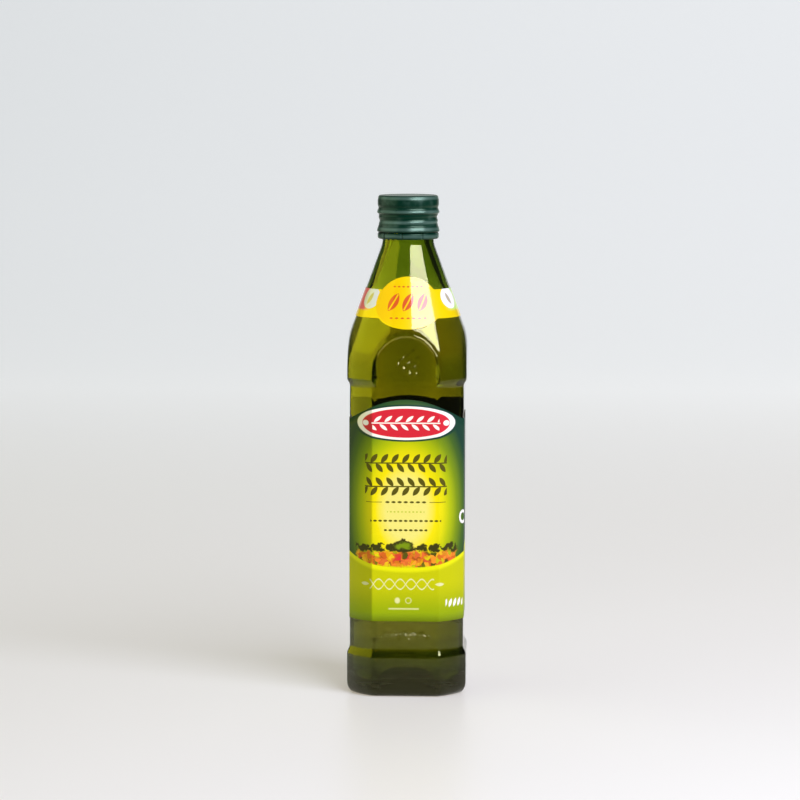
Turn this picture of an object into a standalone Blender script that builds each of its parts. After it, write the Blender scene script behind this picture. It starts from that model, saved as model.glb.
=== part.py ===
"""Olive oil bottle of half a litre: green glass with four flats, its oil, screw cap, tamper band and labels.

Metres, +Z up. The origin is the centre of the underside, and the front of the bottle faces -Y.
Sizes are given in millimetres and turned into metres where a mesh is made.
"""

import math

import bmesh
import bpy

MM = 0.001
GAP = 0.3
"""Clearance between two pieces that touch."""

# Plan of the bottle: a circle cut by four flats
CORNER_RADIUS = 35.2
FLAT_FACE = 30.6
RECESS_DEPTH = 1.45
QUARTER = math.pi / 2
FLAT_EDGE = math.acos(FLAT_FACE / CORNER_RADIUS)
FLAT_STEPS = 8
ARC_STEPS = 6

# Heights up the bottle
HEEL_HEIGHT = 6.0
HEEL_INSET = 4.0
LOWER_LEDGE = (20.5, 24.7)
UPPER_LEDGE = (158.9, 162.8)
SHOULDER_HEIGHT = 170.8
NECK_HEIGHT = 230.8
LIP_HEIGHT = 253.6
NECK_RADIUS = 13.2
SHOULDER_SLOPE = (CORNER_RADIUS - NECK_RADIUS) / (NECK_HEIGHT - SHOULDER_HEIGHT)
SHOULDER_BLEND = 4.4
NECK_BLEND = 2.2
LIP_ROUNDING = 0.9

# Underside and cavity
PUNT_RADIUS = 23.5
PUNT_HEIGHT = 3.0
CAVITY_RADIUS = 31.2
CAVITY_FLAT = 26.7
CAVITY_FLOOR = 6.2
CAVITY_ROUNDING = 8.0
CAVITY_SHOULDER_STEPS = 5
SHOULDER_WALL = 3.2
BORE_RADIUS = 9.8
FILL_VOLUME = 500000.0

# Arched panel let into the front and the back above the label
PANEL_FACE = FLAT_FACE - RECESS_DEPTH + 0.05
ARCH_RADIUS = 15.0
ARCH_CENTRE = 169.5
ARCH_FOOT = 150.0
ARCH_SPLAY = 2.0
ARCH_REACH = 7.0
ARCH_STEPS = 20

# Screw cap, from its lower rim
CAP_FOOT = 236.5
CAP_HEIGHT = 18.9
CAP_RADIUS = 15.7
CAP_TOP_RADIUS = 14.2
CAP_TOP_ROUNDING = 1.2
CAP_BORE = 14.05
CAP_LINER = 1.5
CAP_COLUMNS = 48
THREAD_BAND = (3.2, 8.8)
THREAD_ROWS = 8
THREAD_RADIUS = 15.15
THREAD_DEPTH = 0.45
THREAD_PITCH = 3.84

# Tamper band, from its lower rim
BAND_FOOT = 233.0
BAND_HEIGHT = 3.2
BAND_RADIUS = 15.7
BAND_FOOT_RADIUS = 15.0
BAND_BORE = 14.3
BAND_THROAT = 13.6
BAND_SCORES = 9
SCORE_WIDTH = math.radians(2.6)
SCORE_DEPTH = 0.6
SCORE_SLANT = math.radians(0.5)
SCORE_PLAIN_STEPS = 4
FIRST_SCORE = math.radians(-100.2)

# Wrap label in the recess
LABEL_THICKNESS = 0.3
LABEL_FOOT = 39.2
LABEL_SIDE_TOP = 142.4
LABEL_FRONT_TOP = 152.9
LABEL_BACK_TOP = 150.5
LABEL_FRONT_BOW = 38.8
LABEL_BACK_BOW = 58.0

# Neck sticker: an oval with a wing to each side, wrapped on the shoulder
STICKER_THICKNESS = 0.3
STICKER_TURN = math.radians(-88)
OVAL_HALF_TURN = math.radians(42)
OVAL_HALF_HEIGHT = 13.1
OVAL_HEIGHT = 201.7
WING_HALF_TURN = math.radians(100)
WING_HALF_HEIGHT = 7.2
WING_HEIGHT = 200.9
STICKER_COLUMNS = 50
STICKER_ROWS = 3


def blend(x, start, end):
    """0 before start, 1 after end, and straight between them."""
    return min(max((x - start) / (end - start), 0.0), 1.0)


def soft_corner(x, reach):
    """0 where x is well below 0 and x where it is well above, joined by a curve within this reach of 0."""
    if abs(x) >= reach:
        return max(x, 0.0)
    return (x + reach) ** 2 / (4 * reach)


def shoulder_radius(z):
    """Outer radius of the turned form: straight body, conical shoulder and straight neck, with soft joins."""
    below = soft_corner(z - SHOULDER_HEIGHT, SHOULDER_BLEND)
    above = soft_corner(z - NECK_HEIGHT, NECK_BLEND)
    return CORNER_RADIUS - SHOULDER_SLOPE * (below - above)


def outer_size(z):
    """Radius of the corners and distance of the flats on the outside of the glass at this height."""
    recess = blend(z, *LOWER_LEDGE) - blend(z, *UPPER_LEDGE)
    rise = 1 - min(z / HEEL_HEIGHT, 1.0)
    heel = HEEL_INSET * (1 - math.sqrt(1 - rise**2))
    lip = LIP_ROUNDING * blend(z, LIP_HEIGHT - LIP_ROUNDING, LIP_HEIGHT)
    inset = RECESS_DEPTH * recess + heel
    return shoulder_radius(z) - inset - lip, FLAT_FACE - inset


def cavity_size(z, clearance=0.0):
    """Radius of the corners and distance of the flats inside the glass, less a clearance for what fills it."""
    rise = 1 - min(max((z - CAVITY_FLOOR - clearance) / CAVITY_ROUNDING, 0.0), 1.0)
    inset = CAVITY_ROUNDING * (1 - math.sqrt(1 - rise**2))
    shoulder = max(shoulder_radius(z) - SHOULDER_WALL, BORE_RADIUS)
    radius = min(CAVITY_RADIUS - inset, shoulder) - clearance
    return radius, CAVITY_FLAT - inset - clearance


def section_area(radius, flat):
    """Area of a circle cut by four flats."""
    if radius <= flat:
        return math.pi * radius**2
    edge = math.acos(flat / radius)
    return math.pi * radius**2 - 4 * radius**2 * (edge - math.sin(edge) * math.cos(edge))


def fill_level(volume, step=0.25):
    """Height at which the cavity holds this volume."""
    z, held = CAVITY_FLOOR, 0.0
    while held < volume:
        held += step * section_area(*cavity_size(z + step / 2))
        z += step
    return z


def section(z, radius, flat=math.inf):
    """One level ring of points, a circle cut by four flats, with a point on each edge of a flat."""
    edge = max(math.acos(min(flat / radius, 1.0)), FLAT_EDGE)
    across = [edge * (2 * k / FLAT_STEPS - 1) for k in range(FLAT_STEPS)]
    around = [edge + (QUARTER - 2 * edge) * k / ARC_STEPS for k in range(ARC_STEPS)]
    points = []
    for face in range(4):
        for turn in across + around:
            reach = min(radius, flat / max(math.cos(turn), math.sin(turn)))
            points.append(polar(reach, face * QUARTER + turn, z))
    return points


def polar(radius, angle, z):
    """A point from its distance to the axis, its angle from +X and its height."""
    return (radius * math.cos(angle), radius * math.sin(angle), z)


def turned(z, radius, columns, shape=None):
    """One ring of a turned piece; shape gives what to add to the radius at an angle and height."""
    angles = [2 * math.pi * k / columns for k in range(columns)]
    return [polar(radius + (shape(a, z) if shape else 0.0), a, z) for a in angles]


def skin(rings, endless=False):
    """Vertices and faces over a stack of rings, outside first. A ring of one point closes an end."""
    points, starts, faces = [], [], []
    for ring in rings:
        starts.append(len(points))
        points += ring
    pairs = list(zip(range(len(rings)), range(1, len(rings))))
    if endless:
        pairs.append((len(rings) - 1, 0))
    for low, high in pairs:
        count = max(len(rings[low]), len(rings[high]))
        for k in range(count):
            corners = []
            for ring, column in ((low, k), (low, k + 1), (high, k + 1), (high, k)):
                index = starts[ring] + column % len(rings[ring])
                if index not in corners:
                    corners.append(index)
            faces += outward_split(points, corners)
    return points, faces


def outward_split(points, corners):
    """A four-sided face as two triangles, along the diagonal that lies further from the axis."""
    if len(corners) < 4:
        return [corners]
    a, b, c, d = corners
    reach = [
        math.hypot(points[p][0] + points[q][0], points[p][1] + points[q][1])
        for p, q in ((a, c), (b, d))
    ]
    if reach[0] >= reach[1]:
        return [(a, b, c), (a, c, d)]
    return [(a, b, d), (b, c, d)]


def add_object(name, points, faces, location=0.0):
    """A named object from points in millimetres, raised by location."""
    mesh = bpy.data.meshes.new(name)
    mesh.from_pydata([[MM * c for c in p] for p in points], [], faces)
    mesh.validate()
    ob = bpy.data.objects.new(name, mesh)
    ob.location.z = MM * location
    bpy.context.collection.objects.link(ob)
    return ob


def finish(ob, colour, roughness, metallic=0.0, transmission=0.0, alpha=1.0, sharp=25):
    """Shades an object smooth but for its sharp edges, and gives it a material of its own."""
    material = bpy.data.materials.new(ob.name)
    material.use_nodes = True
    shader = material.node_tree.nodes["Principled BSDF"]
    shader.inputs["Base Color"].default_value = (*colour, 1)
    shader.inputs["Roughness"].default_value = roughness
    shader.inputs["Metallic"].default_value = metallic
    shader.inputs["Transmission Weight"].default_value = transmission
    shader.inputs["Alpha"].default_value = alpha
    ob.data.materials.append(material)
    ob.data.shade_smooth()
    ob.data.set_sharp_from_angle(angle=math.radians(sharp))


def quarter_heights(low, high, steps, concave=False):
    """Heights from low to high, spaced as points on a quarter round that starts level at low."""
    turns = [QUARTER * k / steps for k in range(steps + 1)]
    return [low + (high - low) * (math.sin(t) if concave else 1 - math.cos(t)) for t in turns]


def outer_rings():
    """Rings of the outside of the glass from the middle of the underside up to the lip."""
    rings = [[(0.0, 0.0, PUNT_HEIGHT)]]
    for share in (0.4, 0.7, 1.0):
        rings.append(section(PUNT_HEIGHT * (1 - share**2), PUNT_RADIUS * share))
    half = FLAT_STEPS // 2
    crease_radii = [FLAT_FACE / math.cos(FLAT_EDGE * k / half) for k in range(half - 1, -1, -1)]
    creases = [SHOULDER_HEIGHT + (CORNER_RADIUS - r) / SHOULDER_SLOPE for r in crease_radii]
    heights = quarter_heights(0.0, HEEL_HEIGHT, 4)
    heights += [*LOWER_LEDGE, *UPPER_LEDGE]
    heights += [SHOULDER_HEIGHT + SHOULDER_BLEND * k for k in (-1, -0.4, 0.2, 1)]
    heights += creases + [NECK_HEIGHT - 25]
    heights += [NECK_HEIGHT + NECK_BLEND * k for k in (-1, -0.3, 0.4, 1)]
    heights += [LIP_HEIGHT - LIP_ROUNDING, LIP_HEIGHT]
    return rings + [section(z, *outer_size(z)) for z in heights]


def cavity_rings(top, clearance=0.0):
    """Rings of the inside of the glass from the middle of its floor up to a height."""
    floor = CAVITY_FLOOR + clearance
    heights = quarter_heights(floor, floor + CAVITY_ROUNDING, 4)
    heights += [SHOULDER_HEIGHT - SHOULDER_BLEND]
    step = (CAVITY_RADIUS - CAVITY_FLAT) / CAVITY_SHOULDER_STEPS
    radii = [CAVITY_RADIUS - step * k for k in range(CAVITY_SHOULDER_STEPS + 1)]
    heights += [
        SHOULDER_HEIGHT + (CORNER_RADIUS - SHOULDER_WALL - r) / SHOULDER_SLOPE for r in radii
    ]
    heights += [NECK_HEIGHT - 4, NECK_HEIGHT + 2]
    rings = [[(0.0, 0.0, floor + PUNT_HEIGHT)]]
    low = [z for z in heights if z < top] + [top]
    return rings + [section(z, *cavity_size(z, clearance)) for z in low]


def arch_outline(grow):
    """Points of the arch in X and Z, widened all round: up one side, over the top and down the other."""
    radius = ARCH_RADIUS + grow
    turns = [math.pi * k / ARCH_STEPS for k in range(ARCH_STEPS + 1)]
    over = [(radius * math.cos(t), ARCH_CENTRE + radius * math.sin(t)) for t in turns]
    return [(radius, ARCH_FOOT)] + over + [(-radius, ARCH_FOOT)]


def build_arch_cutter():
    """The two splayed arches that are cut out of the glass, in front and behind."""
    mesh = bpy.data.meshes.new("arch_cutter")
    bm = bmesh.new()
    for side in (-1, 1):
        rims = []
        for reach in (0.0, ARCH_REACH):
            y = side * (PANEL_FACE + reach)
            outline = arch_outline(ARCH_SPLAY * reach)
            rims.append([bm.verts.new((MM * x, MM * y, MM * z)) for x, z in outline])
            bm.faces.new(rims[-1])
        near, far = rims
        for k in range(len(near)):
            after = (k + 1) % len(near)
            bm.faces.new((near[k], near[after], far[after], far[k]))
    bmesh.ops.recalc_face_normals(bm, faces=bm.faces)
    bm.to_mesh(mesh)
    bm.free()
    cutter = bpy.data.objects.new("arch_cutter", mesh)
    cutter.hide_render = True
    cutter.display_type = "WIRE"
    bpy.context.collection.objects.link(cutter)
    return cutter


def build_glass():
    """The bottle: a thick shell, open at the mouth under the cap, with an arched panel front and back."""
    inside = cavity_rings(LIP_HEIGHT)
    points, faces = skin(outer_rings() + inside[::-1])
    glass = add_object("bottle_glass", points, faces)
    arches = glass.modifiers.new("arched panels", "BOOLEAN")
    arches.object = build_arch_cutter()
    arches.operation = "DIFFERENCE"
    arches.solver = "EXACT"
    finish(glass, (0.16, 0.30, 0.02), 0.05, transmission=0.9)


def build_oil():
    """The oil, up to the height at which the bottle holds its half litre."""
    level = fill_level(FILL_VOLUME)
    rings = cavity_rings(level, GAP)
    points, faces = skin(rings + [[(0.0, 0.0, level)]])
    oil = add_object("olive_oil", points, faces)
    finish(oil, (0.50, 0.45, 0.02), 0.05, transmission=0.8)


def thread_relief(angle, z):
    """What the rolled thread takes off the cap's radius, a groove that rises by one pitch a turn."""
    low, high = THREAD_BAND
    fade = blend(z, low, low + 0.8) * (1 - blend(z, high - 0.8, high))
    phase = 2 * math.pi * z / THREAD_PITCH - angle
    return -THREAD_DEPTH * fade * (0.5 + 0.5 * math.cos(phase))


def build_cap():
    """The metal screw cap: plain top, bead, rolled thread and lower bead, hollow below."""
    low, high = THREAD_BAND
    lower_bead = [(0.0, 15.6), (0.4, 15.85), (1.1, 16.0), (1.9, 15.75), (2.5, 15.2)]
    step = (high - low) / (THREAD_ROWS - 1)
    thread = [(low + step * k, THREAD_RADIUS) for k in range(THREAD_ROWS)]
    upper_bead = [(9.4, 15.3), (10.0, 15.75), (10.6, 15.95), (11.3, 15.75), (12.7, 15.26)]
    corner = CAP_HEIGHT - CAP_TOP_ROUNDING
    skirt = [(13.7, CAP_RADIUS), (15.7, CAP_RADIUS), (corner, CAP_TOP_RADIUS + CAP_TOP_ROUNDING)]
    turns = [QUARTER * k / 3 for k in (1, 2, 3)]
    edge = [
        (corner + CAP_TOP_ROUNDING * math.sin(t), CAP_TOP_RADIUS + CAP_TOP_ROUNDING * math.cos(t))
        for t in turns
    ]
    profile = lower_bead + thread + upper_bead + skirt + edge
    rings = [turned(z, r, CAP_COLUMNS, thread_relief) for z, r in profile]
    ceiling = CAP_HEIGHT - CAP_LINER
    rings.insert(0, turned(0.0, CAP_BORE, CAP_COLUMNS))
    rings.insert(0, turned(ceiling, CAP_BORE, CAP_COLUMNS))
    rings.insert(0, [(0.0, 0.0, ceiling)])
    rings.append([(0.0, 0.0, CAP_HEIGHT)])
    points, faces = skin(rings)
    cap = add_object("screw_cap", points, faces, CAP_FOOT)
    finish(cap, (0.012, 0.065, 0.04), 0.35, metallic=0.6, sharp=40)


def band_ring(z, radius, scored):
    """One ring of the tamper band, pressed in at each upright score line if it is scored."""
    half, slant = SCORE_WIDTH / 2, SCORE_SLANT
    plain = 2 * math.pi / BAND_SCORES - SCORE_WIDTH - 2 * slant
    rest = [half + slant + plain * k / SCORE_PLAIN_STEPS for k in range(SCORE_PLAIN_STEPS)]
    points = []
    for score in range(BAND_SCORES):
        middle = FIRST_SCORE + 2 * math.pi * score / BAND_SCORES
        points.append(polar(radius, middle - half - slant, z))
        for turn in (-half, half):
            points.append(polar(radius - SCORE_DEPTH * scored, middle + turn, z))
        points += [polar(radius, middle + turn, z) for turn in rest]
    return points


def build_tamper_band():
    """The ring that breaks away below the cap, rolled in at its foot."""
    roll = 0.8
    profile = [
        (BAND_HEIGHT, BAND_BORE, False),
        (roll, BAND_BORE, False),
        (0.0, BAND_THROAT, False),
        (0.0, BAND_FOOT_RADIUS, False),
        (roll, BAND_RADIUS, True),
        (BAND_HEIGHT, BAND_RADIUS, True),
    ]
    points, faces = skin([band_ring(*station) for station in profile], endless=True)
    band = add_object("tamper_band", points, faces, BAND_FOOT)
    finish(band, (0.012, 0.065, 0.04), 0.35, metallic=0.6, sharp=30)


def label_top(x, y):
    """Height of the label's upper edge: a low arch in front and behind, straight at the sides."""
    if y < 0:
        return max(LABEL_FRONT_TOP - x**2 / (2 * LABEL_FRONT_BOW), LABEL_SIDE_TOP)
    return max(LABEL_BACK_TOP - x**2 / (2 * LABEL_BACK_BOW), LABEL_SIDE_TOP)


def build_wrap_label():
    """The label, one sleeve round the whole recess."""
    radius = CORNER_RADIUS - RECESS_DEPTH + GAP
    flat = FLAT_FACE - RECESS_DEPTH + GAP
    inner = section(LABEL_FOOT, radius, flat)
    outer = section(LABEL_FOOT, radius + LABEL_THICKNESS, flat + LABEL_THICKNESS)
    tops = [[(x, y, label_top(x, y)) for x, y, z in ring] for ring in (outer, inner)]
    points, faces = skin([inner, outer, *tops], endless=True)
    label = add_object("wrap_label", points, faces)
    finish(label, (0.45, 0.55, 0.01), 0.4)


def sticker_edges(turn):
    """Lower and upper edge of the sticker at a turn from its middle: the oval or the wing, the further out."""
    low, high = WING_HEIGHT - WING_HALF_HEIGHT, WING_HEIGHT + WING_HALF_HEIGHT
    if abs(turn) < OVAL_HALF_TURN:
        half = OVAL_HALF_HEIGHT * math.sqrt(1 - (turn / OVAL_HALF_TURN) ** 2)
        low, high = min(low, OVAL_HEIGHT - half), max(high, OVAL_HEIGHT + half)
    return low, high


def build_neck_label():
    """The sticker on the shoulder, as one bent plate."""
    points, faces = [], []
    for clearance in (GAP + 0.05, GAP + 0.05 + STICKER_THICKNESS):
        for column in range(STICKER_COLUMNS + 1):
            turn = WING_HALF_TURN * (2 * column / STICKER_COLUMNS - 1)
            low, high = sticker_edges(turn)
            for row in range(STICKER_ROWS + 1):
                z = low + (high - low) * row / STICKER_ROWS
                points.append(polar(shoulder_radius(z) + clearance, STICKER_TURN + turn, z))
    tall = STICKER_ROWS + 1
    sheet = tall * (STICKER_COLUMNS + 1)
    for column in range(STICKER_COLUMNS):
        for row in range(STICKER_ROWS):
            a = sheet + column * tall + row
            outer = (a, a + tall, a + tall + 1, a + 1)
            faces += outward_split(points, outer)
            faces += outward_split(points, [k - sheet for k in outer[::-1]])
    rim = [column * tall for column in range(STICKER_COLUMNS)]
    rim += [STICKER_COLUMNS * tall + row for row in range(STICKER_ROWS)]
    rim += [column * tall + STICKER_ROWS for column in range(STICKER_COLUMNS, 0, -1)]
    rim += list(range(STICKER_ROWS, 0, -1))
    for k, here in enumerate(rim):
        after = rim[(k + 1) % len(rim)]
        faces += outward_split(points, [here, after, after + sheet, here + sheet])
    sticker = add_object("neck_label", points, faces)
    finish(sticker, (0.95, 0.70, 0.01), 0.4)


def main():
    """Clears the scene and builds the bottle from the glass outwards."""
    for ob in list(bpy.data.objects):
        bpy.data.objects.remove(ob, do_unlink=True)
    build_glass()
    build_oil()
    build_cap()
    build_tamper_band()
    build_wrap_label()
    build_neck_label()


main()
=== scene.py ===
"""Looks of a half-litre bottle of olive oil: green glass, oil, screw cap, wrap label and neck sticker.

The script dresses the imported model. Lengths are in millimetres and are turned into metres where a mesh,
a light or the camera is made. A turn is an angle round the bottle in degrees, from the middle of the front
(-Y) towards +X. A tilt is in degrees too, anticlockwise.
"""

import logging
import math
from collections.abc import Callable
from dataclasses import dataclass
from enum import Enum
from typing import Any

import bpy
import numpy as np
from mathutils import Matrix, Vector

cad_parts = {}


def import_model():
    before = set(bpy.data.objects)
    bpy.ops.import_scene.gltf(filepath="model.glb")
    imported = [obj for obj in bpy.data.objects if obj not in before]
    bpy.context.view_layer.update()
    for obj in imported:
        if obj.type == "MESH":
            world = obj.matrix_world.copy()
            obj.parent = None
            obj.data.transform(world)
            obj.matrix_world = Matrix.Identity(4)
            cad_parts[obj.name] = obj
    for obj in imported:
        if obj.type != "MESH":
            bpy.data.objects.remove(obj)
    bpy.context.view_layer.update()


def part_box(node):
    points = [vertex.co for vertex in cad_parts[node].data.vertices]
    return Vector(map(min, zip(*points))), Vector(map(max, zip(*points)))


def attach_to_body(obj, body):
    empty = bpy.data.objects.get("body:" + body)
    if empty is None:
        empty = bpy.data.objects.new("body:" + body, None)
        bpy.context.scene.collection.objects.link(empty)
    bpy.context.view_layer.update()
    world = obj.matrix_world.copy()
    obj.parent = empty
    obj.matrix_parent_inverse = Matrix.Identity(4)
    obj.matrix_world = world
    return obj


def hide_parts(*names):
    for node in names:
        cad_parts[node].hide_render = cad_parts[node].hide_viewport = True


MM = 0.001
PRINT_PLACE = "print_place"
LOG = logging.getLogger("olive_oil_bottle")

Colour = tuple[float, float, float, float]
Point = tuple[float, float, float]
Pair = tuple[float, float]


def shade(red: int, green: int, blue: int) -> Colour:
    """A colour from its three screen values.

    Args:
        red: Screen value of red, 0 to 255.
        green: Screen value of green, 0 to 255.
        blue: Screen value of blue, 0 to 255.

    Returns:
        The same colour in linear light, as a shader takes it.
    """
    linear = [
        c / 12.92 if c <= 0.04045 else ((c + 0.055) / 1.055) ** 2.4
        for c in (red / 255, green / 255, blue / 255)
    ]
    return (*linear, 1.0)


# Shader expressions


def math_operator(operation: str, reflected: bool = False) -> Callable[["Wire", "Wire | float"], "Wire"]:
    """An operator of Wire, which adds one Math node.

    Args:
        operation: The node's operation.
        reflected: Whether the other value goes in first.

    Returns:
        The method for the operator.
    """

    def method(wire: "Wire", other: "Wire | float") -> "Wire":
        """Joins the wire and the other value."""
        return wire.math(operation, *((other, wire) if reflected else (wire, other)))

    return method


class Wire:
    """An output socket that takes part in Python arithmetic, which adds Math nodes to its tree.

    For masks, | is the larger of two, where either is, and & is the smaller, where both are.
    """

    __add__, __radd__ = math_operator("ADD"), math_operator("ADD", reflected=True)
    __sub__, __rsub__ = math_operator("SUBTRACT"), math_operator("SUBTRACT", reflected=True)
    __mul__, __rmul__ = math_operator("MULTIPLY"), math_operator("MULTIPLY", reflected=True)
    __truediv__, __rtruediv__ = math_operator("DIVIDE"), math_operator("DIVIDE", reflected=True)
    __pow__, __rpow__ = math_operator("POWER"), math_operator("POWER", reflected=True)
    __or__, __ror__ = math_operator("MAXIMUM"), math_operator("MAXIMUM", reflected=True)
    __and__, __rand__ = math_operator("MINIMUM"), math_operator("MINIMUM", reflected=True)

    def __init__(self, tree: "Tree", socket: bpy.types.NodeSocket) -> None:
        """Keeps the socket and the tree that its Math nodes go to."""
        self.tree = tree
        self.socket = socket

    def __getitem__(self, output: str) -> "Wire":
        """Another output of the same node, by its name."""
        return Wire(self.tree, self.socket.node.outputs[output])

    def __abs__(self) -> "Wire":
        """This without its sign."""
        return self.math("ABSOLUTE", self)

    def sine(self) -> "Wire":
        """The sine of this angle in radians."""
        return self.math("SINE", self)

    def math(self, operation: str, *values: "Wire | float") -> "Wire":
        """Adds one Math node, with these values in its sockets in order."""
        return self.tree.add("ShaderNodeMath", {"operation": operation}, dict(enumerate(values)))


class Tree:
    """The shader tree of one new material."""

    def __init__(self, name: str) -> None:
        """Adds an empty material.

        Args:
            name: The material's name.
        """
        self.material = bpy.data.materials.new(name)
        self.material.use_nodes = True
        self.graph = self.material.node_tree
        self.graph.nodes.clear()

    def add(
        self,
        kind: str,
        settings: dict[str, Any] | None = None,
        sockets: dict[str | int, Any] | None = None,
        output: str | int = 0,
    ) -> Wire:
        """Adds a node.

        Args:
            kind: The node's type.
            settings: Its properties; "stops" are the places and colours of a ramp.
            sockets: Its inputs by name or number, each a value or a Wire.
            output: The output to return.

        Returns:
            That output.
        """
        node = self.graph.nodes.new(kind)
        for key, value in (settings or {}).items():
            if key == "stops":
                self._set_stops(node.color_ramp, value)
            else:
                setattr(node, key, value)
        for key, value in (sockets or {}).items():
            if isinstance(value, Wire):
                self.graph.links.new(value.socket, node.inputs[key])
            else:
                node.inputs[key].default_value = value
        return Wire(self, node.outputs[output])

    @staticmethod
    def _set_stops(ramp: bpy.types.ColorRamp, stops: list[tuple[float, Colour]]) -> None:
        """Gives a ramp its stops.

        Args:
            ramp: The ramp.
            stops: Their places and colours.
        """
        while len(ramp.elements) > 1:
            ramp.elements.remove(ramp.elements[-1])
        ramp.elements[0].position, ramp.elements[0].color = stops[0]
        for place, colour in stops[1:]:
            ramp.elements.new(place).color = colour

    def object_place(self) -> Wire:
        """The place in the object's own space, in metres."""
        return self.add("ShaderNodeTexCoord", output="Object")

    def print_place(self) -> Wire:
        """The place on a print, in millimetres, as the mesh holds it."""
        return self.add("ShaderNodeAttribute", {"attribute_name": PRINT_PLACE}, output="Vector")

    def axes(self, place: Wire) -> Wire:
        """A place taken apart, of which ["X"], ["Y"] and ["Z"] are the parts."""
        return self.add("ShaderNodeSeparateXYZ", {}, {"Vector": place})

    def length(self, place: Wire) -> Wire:
        """How far a place is from 0."""
        return self.vector("LENGTH", place, output="Value")

    def local(self, place: Wire, centre: Pair, tilt: float = 0.0, size: Pair = (1.0, 1.0)) -> Wire:
        """A flat place as seen from a motif.

        Args:
            place: The place.
            centre: Centre of the motif.
            tilt: Degrees that it is turned.
            size: Its size, which becomes 1.

        Returns:
            The place in the motif's own measure.
        """
        sockets = {
            "Vector": place,
            "Location": (*centre, 0.0),
            "Rotation": (0.0, 0.0, math.radians(tilt)),
            "Scale": (*size, 1.0),
        }
        return self.add("ShaderNodeMapping", {"vector_type": "TEXTURE"}, sockets)

    def mix(self, mask: Wire | float, under: Wire | Colour, over: Wire | Colour) -> Wire:
        """Lays one colour over another where the mask is 1."""
        return self.add("ShaderNodeMix", {"data_type": "RGBA"}, {0: mask, 6: under, 7: over}, 2)

    def ramp(self, value: Wire, stops: list[tuple[float, Colour]]) -> Wire:
        """A colour that runs through these stops as the value rises."""
        return self.add("ShaderNodeValToRGB", {"stops": stops}, {"Fac": value}, "Color")

    def fade(self, value: Wire, start: float, end: float) -> Wire:
        """0 at start and 1 at end, with a soft S between them."""
        sockets = {"Value": value, "From Min": start, "From Max": end}
        return self.add("ShaderNodeMapRange", {"interpolation_type": "SMOOTHSTEP"}, sockets)

    def vector(self, operation: str, *values: Any, output: str | int = 0) -> Wire:
        """Adds one Vector Math node, with these values in its sockets in order."""
        return self.add("ShaderNodeVectorMath", {"operation": operation}, dict(enumerate(values)), output)

    def noise(self, scale: float, detail: float, place: Wire | None = None) -> Wire:
        """Adds a noise of this many cells to a unit of the place, or to a metre of the object."""
        sockets = {"Vector": place or self.object_place(), "Scale": scale, "Detail": detail}
        return self.add("ShaderNodeTexNoise", {}, sockets)

    def bump(self, height: Wire, depth: float, strength: float = 1.0) -> Wire:
        """A normal from a height of 0 to 1 that stands for this depth in millimetres."""
        sockets = {"Height": height, "Distance": depth * MM, "Strength": strength}
        return self.add("ShaderNodeBump", {}, sockets)

    def finish(self, sockets: dict[str, Any], volume: Wire | None = None) -> bpy.types.Material:
        """Ends the tree with a Principled shader.

        Args:
            sockets: The shader's inputs by name, each a value or a Wire.
            volume: The shader of what is inside the surface.

        Returns:
            The finished material.
        """
        surface = self.add("ShaderNodeBsdfPrincipled", {}, sockets)
        outlet = self.graph.nodes.new("ShaderNodeOutputMaterial")
        self.graph.links.new(surface.socket, outlet.inputs["Surface"])
        if volume:
            self.graph.links.new(volume.socket, outlet.inputs["Volume"])
        return self.material


# Finishes


@dataclass(frozen=True)
class ClearFinish:
    """A clear, tinted substance.

    Attributes:
        name: Name of the material.
        tint: Share of red, green and blue that gets through.
        depth: Thickness in millimetres that gives this tint.
        refraction: Refractive index.
        ripple: Depth in millimetres of the slow waves in its surface.
        ripple_scale: Waves a metre.
        sheen: Colour of what its surface mirrors.
    """

    name: str
    tint: Point
    depth: float
    refraction: float
    ripple: float = 0.0
    ripple_scale: float = 90.0
    sheen: Colour = (1.0, 1.0, 0.48, 1.0)

    def material(self) -> bpy.types.Material:
        """Makes the material.

        Returns:
            The material.
        """
        losses = [-math.log(share) / (self.depth * MM) for share in self.tint]
        density = max(losses)
        colour = (*(1 - loss / density for loss in losses), 1.0)
        tree = Tree(self.name)
        sockets = {
            "Base Color": (1.0, 1.0, 1.0, 1.0),
            "Roughness": 0.0,
            "IOR": self.refraction,
            "Transmission Weight": 1.0,
            "Specular Tint": self.sheen,
        }
        if self.ripple:
            sockets["Normal"] = tree.bump(tree.noise(self.ripple_scale, 1.0), self.ripple)
        volume = tree.add("ShaderNodeVolumeAbsorption", {}, {"Color": colour, "Density": density})
        return tree.finish(sockets, volume)


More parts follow.
